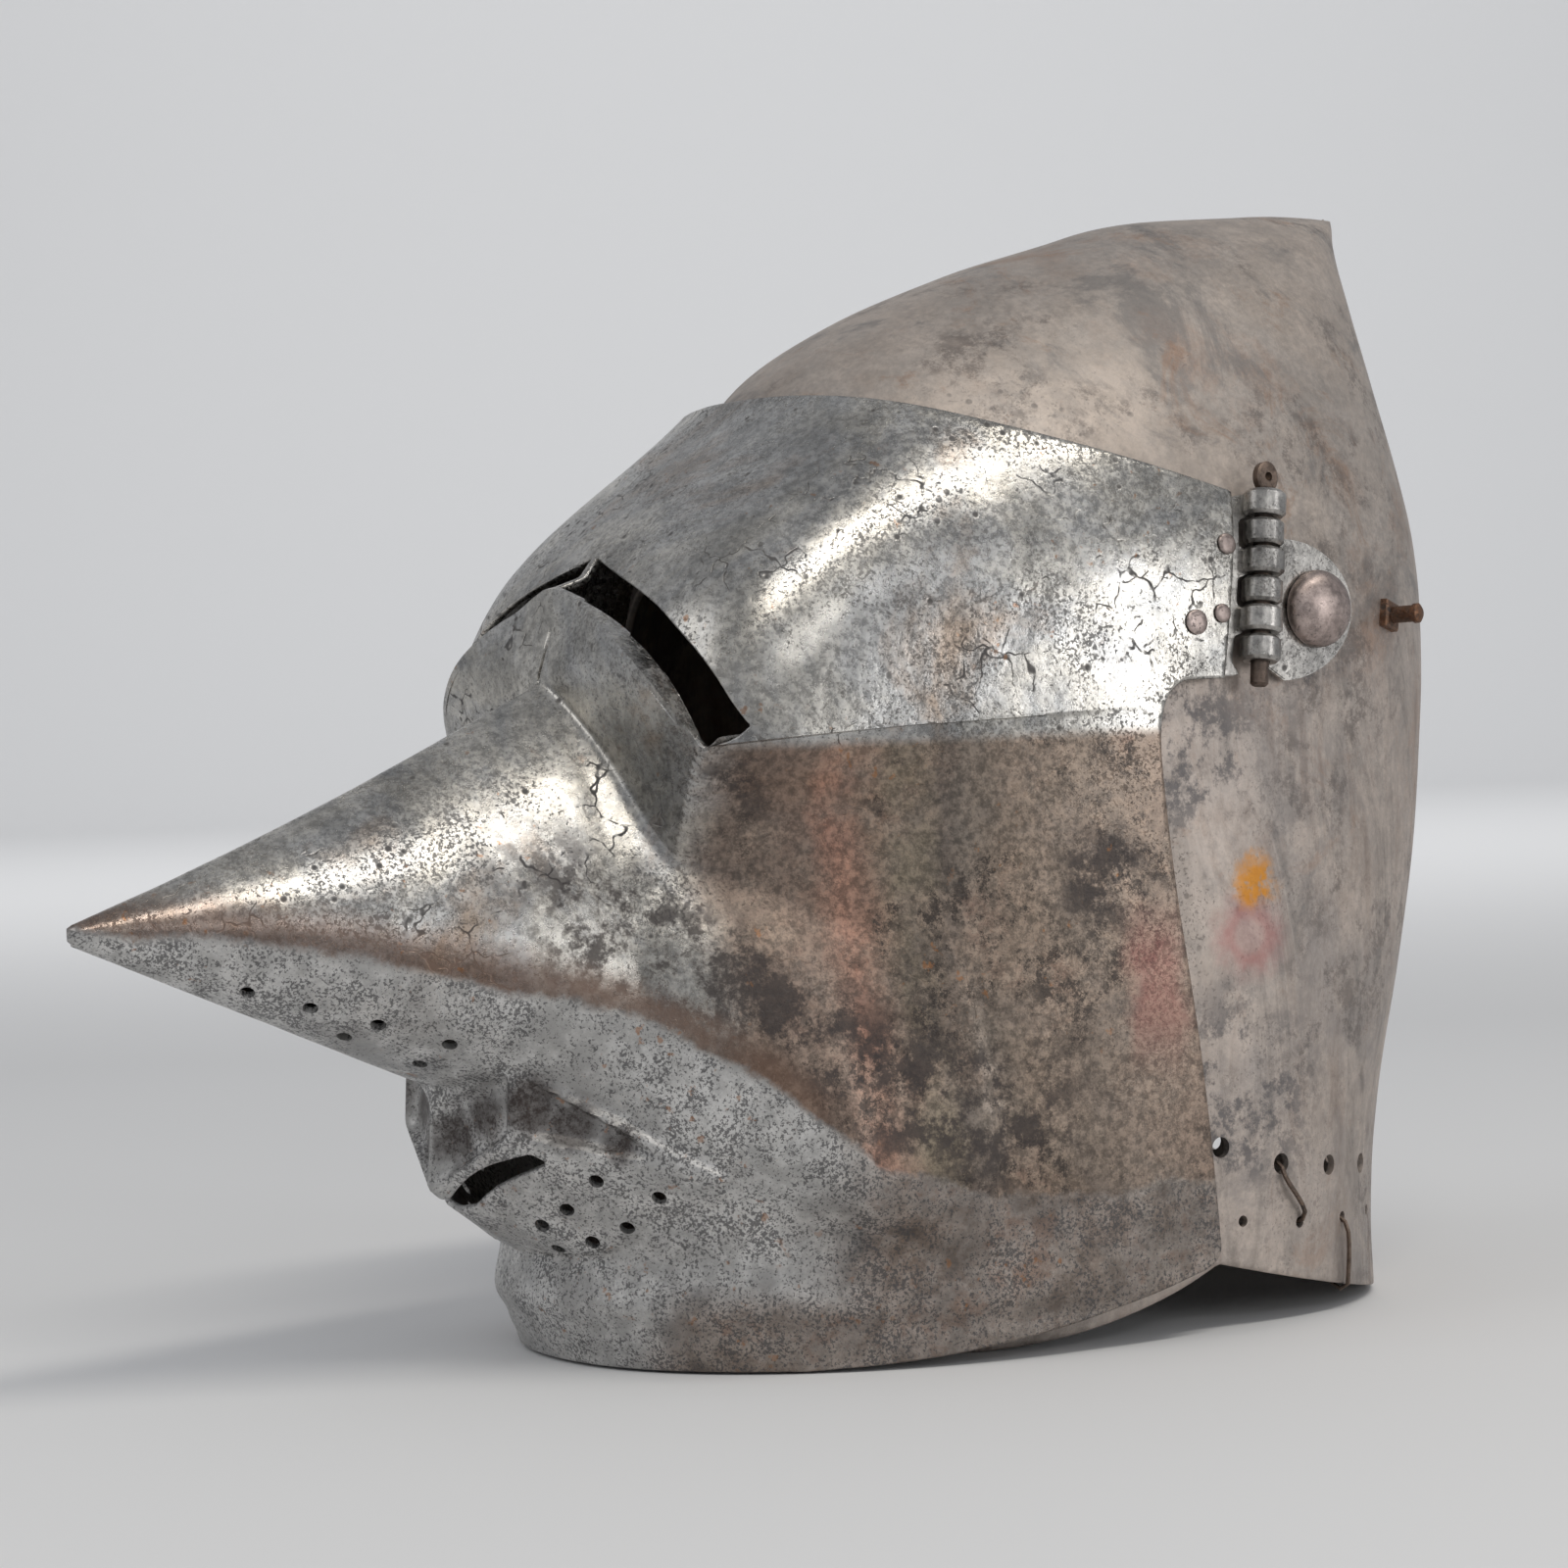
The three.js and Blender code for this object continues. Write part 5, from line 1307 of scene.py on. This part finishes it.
def visor_look():
    look = Look("visor_steel_look")
    colour, pits, mottle = worn_steel(look, VISOR_TONES, 0.66, 0.53, 0.65)
    ragged = look.ragged(above_ridge(look), 0.012, 60.0)
    over, under = look.fade(ragged, -0.001, 0.003), look.fade(ragged, -0.001, 0.003, 1.0, 0.0)
    far_y, far_z = look.ragged(look.y, 0.02), look.ragged(look.z, 0.014, 41.0)
    cheek = look.both(look.fade(look.y, -0.064, -0.05), look.fade(look.z, 0.156, 0.16, 1.0, 0.0), over)
    # Painted reflections of the surroundings as streaks down the cheek, and dark flecks
    colour = cheek_reflections_and_flecks(look, colour, cheek, mottle)
    black = charred_marks(look, ragged, far_y)
    colour = look.paint(colour, CHAR, black, 0.85)
    pink = look.both(look.band(far_y, 0.046, 0.062), look.band(far_z, 0.078, 0.108, 0.01))
    colour = look.paint(colour, PINK, pink, 0.34)
    # Painted reflection: a dark brown band just above the snout's ridge stands in for dark surroundings
    # mirrored there
    ridge_reflection = look.fade(ragged, 0.005, 0.016, 1.0, 0.0)
    colour = look.paint(colour, RIDGE_REFLECTION_BROWN, over, ridge_reflection, look.fade(look.y, -0.05, -0.03, 1.0, 0.0), 0.7)
    # Painted light from the floor on the underside below the ridge, with dark grains
    colour = lit_underside_colours(look, colour, under, far_y, far_z)
    # Painted shade: dark spots on both sides in the hollow panels beside the mouth, under the cheek's overhang
    shade = look.most(*[look.spot(at, radius, 0.003, 0.002, True) for at, radius in PAINTED_MOUTH_SHADE_SPOTS])
    colour = look.paint(colour, PAINTED_MOUTH_SHADE_TONE, shade, look.fade(mottle, 0.36, 0.62, 0.95, 0.7))
    rust = look.both(look.patches((260.0, 3.0, 0.6), 0.64, 0.7), look.patches((28.0, 2.0), 0.5, 0.6))
    colour = look.paint(colour, RUST, rust, 0.6)
    dull = look.most(look.both(under, 0.8), black, look.both(cheek, 0.5))
    return steel_surface(look, colour, pits, mottle, 0.21, dull)


def coloured_marks(look, colour):
    """A red ring and an orange blot on the left side of the skull."""
    red = look.spot(RED_AT, 9.0, 0.006, 0.006)
    ring = look.both(red, look.fade(look.spot(RED_AT, 5.0, 0.003, 0.003), 0.0, 1.0, 1.0, 0.4))
    colour = look.paint(colour, RED, ring, 0.6)
    orange = look.spot(ORANGE_AT, 6.5, 0.003, 0.006)
    return look.paint(colour, ORANGE, orange, look.patches((150.0, 3.0, 0.6), 0.4, 0.5, 0.25, 1.0), 0.9)


def skull_look():
    look = Look("skull_steel_look")
    colour, pits, mottle = worn_steel(look, SKULL_TONES, 0.72, 0.61, look.fade(look.z, 0.2, 0.1, 0.3, 0.8))
    smooth = look.ramp(look.noise(15.0, 7.0, 0.72), SKULL_TONES)
    colour = look.mix(look.fade(look.z, 0.17, 0.24, 0.3, 0.6), colour, smooth)
    colour = look.mix(look.patches((23.0, 7.0, 0.75, 0.6), 0.5, 0.62, 0.0, 0.6), colour, SKULL_GREY)
    colour = look.mix(look.patches((31.0, 7.0, 0.75, 0.6), 0.54, 0.66, 0.0, 0.5), colour, SKULL_BROWN)
    side = look.both(look.fade(look.z, 0.2, 0.17), look.fade(look.y, 0.2, 0.16, 0.4, 1.0))
    streaks = look.noise(1.0, 6.0, 0.7, 1.6, place=look.scaled((42.0, 42.0, 11.0)))
    colour = look.paint(colour, look.ramp(streaks, STREAK_TONES), side, 0.34)
    where = look.patches((20.0, 4.0, 0.7), 0.45, 0.6)
    colour = look.paint(colour, STAIN, look.patches((78.0, 7.0, 0.88), 0.48, 0.6), where, 0.6)
    burnt = look.patches((60.0, 6.0, 0.8), 0.46, 0.58)
    cloud = look.most(*[look.spot(*mark) for mark in SKULL_CLOUDS])
    colour = look.paint(colour, CLOUD, cloud, burnt, 0.8)
    colour = coloured_marks(look, colour)
    return steel_surface(look, colour, pits, mottle, 0.34, look.math("ADD", 0.55, look.both(burnt, 0.2)))


def fitting_look(name, tones, polish):
    look = Look(name)
    colour, pits, mottle = worn_steel(look, tones, 0.66, 0.8)
    return steel_surface(look, colour, pits, mottle, polish)


def add_piece(name, mesh, material, body, *nodes):
    mesh.name = name
    mesh.materials.clear()
    mesh.materials.append(material)
    piece = object_of(name, mesh)
    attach(piece, body)
    if nodes:
        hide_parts(*nodes)
    return piece


# Hinge and fittings of the left side
HINGE_FOOT = np.array((95.02, HINGE_FOOT_Y, HINGE_FOOT_HEIGHT))
HINGE_TOP = np.array((88.66, HINGE_FOOT_Y + HINGE_LEAN, HINGE_FOOT_HEIGHT + HINGE_LENGTH))
HINGE_WAY = (HINGE_TOP - HINGE_FOOT) / np.linalg.norm(HINGE_TOP - HINGE_FOOT)
KNUCKLE_COUNT, KNUCKLE_FOOT, KNUCKLE_GAP = 6, 0.07, 1.0
KNUCKLE_STEP, KNUCKLE_BEVEL = 0.35, 0.9
PLATE_KNUCKLES, LEAF_KNUCKLES = (0, 2, 4), (1, 3, 5)
# Clearance of turned pieces in their holes and of sheets that lie on each other
CLEARANCE = 0.3
# Where a hinge sheet starts at its own knuckles and at the other sheet's
SHEET_START, SHEET_CLEAR = 3.4, 6.4
PIN_DIAMETER, PIN_EYE = 4.8, 7.0
EYE_RADIUS, EYE_BEVEL, EYE_STRETCH, EYE_HOLE, EYE_HOLE_REACH = 3.5, 0.6, 0.2, 2.4, 5
PLATE_OUTER_X, PLATE_THICKNESS, PLATE_HALF_HEIGHT, PLATE_REACH = 90.75, 2.0, 18.6, 13.0
PLATE_SOFTNESS, PLATE_BORE, PLATE_BORE_REACH = 0.35, 8.8, 8
PIVOT_HEAD, PIVOT_RISE, PIVOT_SHANK = 20.5, 6.5, 8.0
PIVOT_INNER_HEAD, PIVOT_INNER_RISE = 6.0, 1.95
LEAF_REACH, LEAF_THICKNESS = 25.0, 1.6
# Small rivets: place up the hinge and forward as shares, and diameter. Their shank, inner head and outer rise
LEAF_RIVETS = [(0.722, 0.498, 5.6), (0.335, 0.515, 5.0), (0.304, 0.844, 6.6)]
RIVET_SHANK, RIVET_GRIP, RIVET_INNER_RISE, RIVET_RISE = 1.5, 4.3, 0.7, 0.6
# Rear studs: place and direction, and profiles of the square base and of the peg through it
STUD_AT, STUD_OUT = np.array((75.45, 150.0, 186.0)), np.array((0.917, 0.397, 0.033))
STUD_DEPTH = 1.2
STUD_BASE = [(0, 5.3), (3.1, 5.3), (3.7, 4.5)]
STUD_PEG = [
    (-3.8, 1.2), (-3.5, 2.6), (-2.9, 2.75), (-2.9, 1.5), (2.55, 1.5), (2.6, 2.3), (8.2, 2.3), (8.7, 2.7),
    (9.9, 2.7), (10.6, 1.7),
]


def on_hinge(share):
    return HINGE_FOOT + share * (HINGE_TOP - HINGE_FOOT)


def knuckle_shares(k):
    step = (1 - KNUCKLE_FOOT) / KNUCKLE_COUNT
    gap = 0.5 * KNUCKLE_GAP / HINGE_LENGTH
    return KNUCKLE_FOOT + k * step + gap, KNUCKLE_FOOT + (k + 1) * step - gap


def knuckles(numbers, side):
    """Rolled knuckles of one sheet; the plate's are a little thinner than the leaf's."""
    outer = 0.5 * BARREL_DIAMETER - (KNUCKLE_STEP if numbers == PLATE_KNUCKLES else 0)
    rods = []
    for k in numbers:
        low, high = knuckle_shares(k)
        rod = tube(on_hinge(low), on_hinge(high), 0.5 * PIN_DIAMETER + CLEARANCE, outer, KNUCKLE_BEVEL)
        rods.append(mirrored(rod, side))
    return rods


def comb(side, own):
    """Side view of a sheet's edge along the hinge from its foot up, cut back at the other's knuckles."""
    line = []
    for k in range(KNUCKLE_COUNT):
        start = SHEET_START if k in own else SHEET_CLEAR
        for share in knuckle_shares(k):
            z = on_hinge(share)[2]
            line.append((hinge_y(z) + side * start, z))
    return line


def plate_mesh(side):
    """The flat plate behind the barrel that turns round the pivot rivet, with its knuckles."""
    low, high = PIVOT_HEIGHT - PLATE_HALF_HEIGHT, PIVOT_HEIGHT + PLATE_HALF_HEIGHT
    inside = [(y, z) for y, z in comb(1, PLATE_KNUCKLES) if low < z < high]
    middle_y = hinge_y(high) + SHEET_START + PLATE_THICKNESS
    reach = PIVOT_Y + PLATE_REACH - middle_y
    arc = [(middle_y + reach * math.cos(t), PIVOT_HEIGHT + PLATE_HALF_HEIGHT * math.sin(t))
           for t in np.linspace(0.5 * math.pi, -0.5 * math.pi, 40)]
    sheet = slab(np.array([*inside, *arc]), PLATE_OUTER_X - PLATE_THICKNESS, PLATE_OUTER_X)
    mesh = mesh_of("plate", *mirrored(sheet, side))
    centre = (side * PLATE_OUTER_X, PIVOT_Y, PIVOT_HEIGHT)
    bore = drill(centre, (1, 0, 0), PLATE_BORE_REACH, PLATE_BORE, 40)
    mesh = soft_edges(cut(mesh, [bore]), PLATE_SOFTNESS)
    return with_parts(mesh, knuckles(PLATE_KNUCKLES, side))


def soft_edges(mesh, width, degrees=50):
    """The mesh with its sharp edges rounded over a width in millimetres."""
    with editing(mesh) as work:
        pairs = [edge for edge in work.edges if len(edge.link_faces) == 2]
        sharp = [edge for edge in pairs if edge.calc_face_angle(0) > math.radians(degrees)]
        bmesh.ops.bevel(work, geom=sharp, offset=width * MM, segments=2, affect="EDGES", clamp_overlap=True)
    return mesh


def with_parts(mesh, parts):
    """The mesh and further solids as one mesh, its sharp edges drawn sharp."""
    with editing(mesh) as work:
        work.from_mesh(mesh_of("part", *joined(parts)))
    mesh.shade_smooth()
    return sharpen(mesh, PART_SHARP)


def leaf_mesh(side, grid):
    """The strip inside the visor's edge, with its knuckles."""
    low, high = HINGE_FOOT_HEIGHT + 0.5, HINGE_FOOT_HEIGHT + HINGE_LENGTH - 0.5
    edge = [(y, z) for y, z in comb(-1, LEAF_KNUCKLES) if low < z < high]
    outline = np.array([
        (hinge_y(low) - LEAF_REACH, low), (hinge_y(low) - SHEET_START, low), *edge,
        (hinge_y(high) - SHEET_START, high), (hinge_y(high) - LEAF_REACH, high - 0.16 * LEAF_REACH),
    ])
    inner = grid - grid_normals(grid, False) * (VISOR_WALL + CLEARANCE)

    def keep(p):
        return np.minimum(polygon_distance(p[:, 1:], outline), side * p[:, 0])

    mesh = mesh_of("leaf", *trimmed_shell(inner, keep, LEAF_THICKNESS))
    return with_parts(mesh, knuckles(LEAF_KNUCKLES, side))


def pin_mesh(side):
    """A hinge pin with a flat eye at its top."""
    radius, whole = 0.5 * PIN_DIAMETER, HINGE_LENGTH + 0.9 * PIN_DIAMETER
    foot = HINGE_FOOT - radius * HINGE_WAY
    profile = [(0, radius - 0.6), (0.6, radius), (whole - 0.5, radius), (whole, radius - 0.5)]
    rod = lathe(foot, HINGE_TOP, profile, 28)
    middle = HINGE_FOOT + (HINGE_LENGTH + 0.3 + 0.62 * PIN_EYE) * HINGE_WAY
    across = np.array((1.0, 0, 0)) - HINGE_WAY[0] * HINGE_WAY
    half, rim = 0.3 * PIN_DIAMETER, EYE_RADIUS - EYE_BEVEL
    profile = [(0, rim), (0.5, EYE_RADIUS), (2 * half - 0.5, EYE_RADIUS), (2 * half, rim)]
    eye, faces = lathe(middle - half * across, middle + half * across, profile, 36)
    eye = eye + np.outer((eye - middle) @ HINGE_WAY, HINGE_WAY) * EYE_STRETCH
    hole = drill(middle, across, EYE_HOLE_REACH, EYE_HOLE)
    ring = cut(mesh_of("eye", *mirrored((eye, faces), side)), [mirrored(hole, side)])
    return with_parts(ring, [mirrored(rod, side)])


def turned_piece(name, rod, side, degrees=TURNED_SHARP):
    return sharpen(mesh_of(name, *mirrored(rod, side)), degrees)


def pivot_mesh(side, inner_x):
    """The big round rivet the plate turns on, closed inside the skull."""
    start = np.array((inner_x, PIVOT_Y, PIVOT_HEIGHT))
    grip = PLATE_OUTER_X + CLEARANCE - inner_x
    inner_head = dome(PIVOT_INNER_HEAD, PIVOT_INNER_RISE, 0)
    inside = [(PIVOT_INNER_RISE - rise, radius) for rise, radius in inner_head]
    shank = [(PIVOT_INNER_RISE, PIVOT_SHANK / 2), (grip, PIVOT_SHANK / 2)]
    head = [(grip, PIVOT_HEAD / 2 - 0.4), (grip + 0.7, PIVOT_HEAD / 2)]
    head += dome(PIVOT_HEAD / 2, PIVOT_RISE - 1.0, grip + 1.0, 14, 0.85)
    return turned_piece("rivet", lathe(start, start + (1, 0, 0), [*inside[::-1], *shank, *head], 56), side)


def stud_meshes(side):
    """A square base on the back of the skull and the round peg through it."""
    base = lathe(STUD_AT - STUD_DEPTH * STUD_OUT, STUD_AT, STUD_BASE, 4, 0.5)
    peg = lathe(STUD_AT, STUD_AT + STUD_OUT, STUD_PEG, 28)
    return turned_piece("base", base, side, BLOCK_SHARP), turned_piece("peg", peg, side)


def leaf_rivet_mesh(side, rivet, grid):
    """A worn flat head on the visor's edge, its shank and its inside head."""
    along, forward, diameter = rivet
    z = HINGE_FOOT_HEIGHT + along * HINGE_LENGTH
    y = hinge_y(z) - forward * LEAF_REACH
    left = grid[:, grid.shape[1] // 2 + 40:]
    away = np.hypot(left[..., 1] - y, left[..., 2] - z)
    row, column = np.unravel_index(np.argmin(away), away.shape)
    at, out = left[row, column], grid_normals(left, False)[row, column]
    inside = [(-RIVET_GRIP - RIVET_INNER_RISE * math.sin(t), 0.42 * diameter * math.cos(t) + 0.02)
              for t in np.linspace(1.55, 0, 5)]
    shank = [(-RIVET_GRIP, RIVET_SHANK), (0.15, RIVET_SHANK), (0.15, 0.5 * diameter)]
    head = dome(0.5 * diameter, RIVET_RISE, 0.3, 6, 0.6)
    return turned_piece("leaf_rivet", lathe(at, at + out, [*inside, *shank, *head], 28), side)


def add_fittings(grid, steel, rivet_steel, iron):
    for name, side in (("left", 1), ("right", -1)):
        add_piece(f"plate_sheet_{name}", plate_mesh(side), steel, "visor", f"pivot_plate_{name}")
        add_piece(f"leaf_sheet_{name}", leaf_mesh(side, grid), steel, "visor", f"hinge_leaf_{name}")
        add_piece(f"pull_pin_{name}", pin_mesh(side), iron, f"pin_{name}", f"hinge_pin_{name}")
        inner_x = min(abs(corner[0] / MM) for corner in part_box(f"pivot_rivet_{name}"))
        dome_mesh = pivot_mesh(side, inner_x)
        add_piece(f"pivot_dome_{name}", dome_mesh, rivet_steel, "skull", f"pivot_rivet_{name}")
        block, peg = stud_meshes(side)
        add_piece(f"stud_block_{name}", block, iron, "skull", f"stud_base_{name}")
        add_piece(f"stud_pin_{name}", peg, iron, "skull", f"stud_peg_{name}")
        for k, rivet in enumerate(LEAF_RIVETS, 1):
            mesh = leaf_rivet_mesh(side, rivet, grid)
            add_piece(f"leaf_head_{k}_{name}", mesh, rivet_steel, "visor", f"leaf_rivet_{k}_{name}")


def paint_nodes(steel, iron):
    """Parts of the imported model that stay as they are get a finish."""
    for name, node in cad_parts.items():
        if node.hide_render:
            continue
        for place in node.material_slots:
            place.link = "OBJECT"
            place.material = steel if "washer" in name else iron


def add_helmet():
    steel = fitting_look("hinge_steel_look", HINGE_TONES, 0.26)
    rivet_steel = fitting_look("rivet_steel_look", RIVET_TONES, 0.34)
    iron = fitting_look("dark_iron_look", IRON_TONES, 0.42)
    grid = visor_grid()
    add_piece("visor_sheet", visor_shell_mesh(grid), visor_look(), "visor", "visor_shell")
    add_piece("skull_sheet", skull_bowl_mesh(), skull_look(), "skull", "skull_bowl")
    add_fittings(grid, steel, rivet_steel, iron)
    paint_nodes(steel, iron)


add_helmet()

# Paper sweep in metres: how far it runs each way, the radius of its curve, its half width and its height
FLOOR_RUN, FLOOR_CURVE, FLOOR_HALF, FLOOR_TOP = 6.0, 1.2, 8.0, 4.0
PAPER = (0.8, 0.8, 0.8, 1)
PAPER_ROUGHNESS = 0.9


def build_floor():
    """A pale sweep of paper under and behind the helmet."""
    start = FLOOR_RUN - FLOOR_CURVE
    curve = [(start + FLOOR_CURVE * math.sin(t), FLOOR_CURVE - FLOOR_CURVE * math.cos(t))
             for t in np.linspace(0, math.pi / 2, 17)]
    way = np.array([-CAMERA_BACK.x, -CAMERA_BACK.y])
    way /= np.linalg.norm(way)
    side = np.array([-way[1], way[0]])
    vertices, faces = [], []
    for along, up in [(-FLOOR_RUN, 0.0), *curve, (FLOOR_RUN, FLOOR_TOP)]:
        for across in (-FLOOR_HALF, FLOOR_HALF):
            x, y = way * along + side * across
            vertices.append((x, y, up))
    for k in range(0, len(vertices) - 2, 2):
        faces.append((k, k + 2, k + 3, k + 1))
    mesh = bpy.data.meshes.new("floor")
    mesh.from_pydata(vertices, [], faces)
    mesh.shade_smooth()
    material = bpy.data.materials.new("paper")
    material.use_nodes = True
    shader = material.node_tree.nodes["Principled BSDF"]
    shader.inputs["Base Color"].default_value = PAPER
    shader.inputs["Roughness"].default_value = PAPER_ROUGHNESS
    mesh.materials.append(material)
    object_of("floor", mesh)


# Lamps in metres: place, what each one points at, width, height, power and tint
LAMPS = {
    "upper_strip": ((1.15, 0.1, 2.1), (0, 0, 0.15), 2.2, 0.22, 17, (1, 0.96, 0.89)),
    "lower_strip": ((1.95, -0.15, 1.15), (0, 0, 0.15), 1.2, 0.1, 2.5, (1, 1, 1)),
    "side_window": ((1.9, 1.0, 0.45), (0, 0.05, 0.18), 0.35, 0.5, 5, (1, 1, 1)),
    "front_window": ((-0.5, -2.1, 1.5), (0, 0, 0.15), 1.2, 1.2, 6, (1, 1, 1)),
    "backdrop_wash": ((-1.7, 1.1, 2.6), (-4.4, 2.85, 1.2), 3.0, 1.0, 60, (1, 1, 1)),
}
SKY = (0.4, 0.41, 0.43, 1)


def add_lamp(name, place, aim, width, height, power, tint):
    data = bpy.data.lights.new(name, "AREA")
    data.shape = "RECTANGLE"
    data.size, data.size_y, data.energy, data.color = width, height, power, tint
    lamp = object_of(name, data)
    lamp.location = place
    lamp.rotation_euler = (Vector(aim) - Vector(place)).to_track_quat("-Z", "Y").to_euler()


def build_world():
    world = bpy.data.worlds.new("studio")
    world.use_nodes = True
    world.node_tree.nodes["Background"].inputs["Color"].default_value = SKY
    bpy.context.scene.world = world


build_floor()
build_world()
for lamp_name, lamp in LAMPS.items():
    add_lamp(lamp_name, *lamp)

bpy.context.scene.view_settings.view_transform = "Standard"
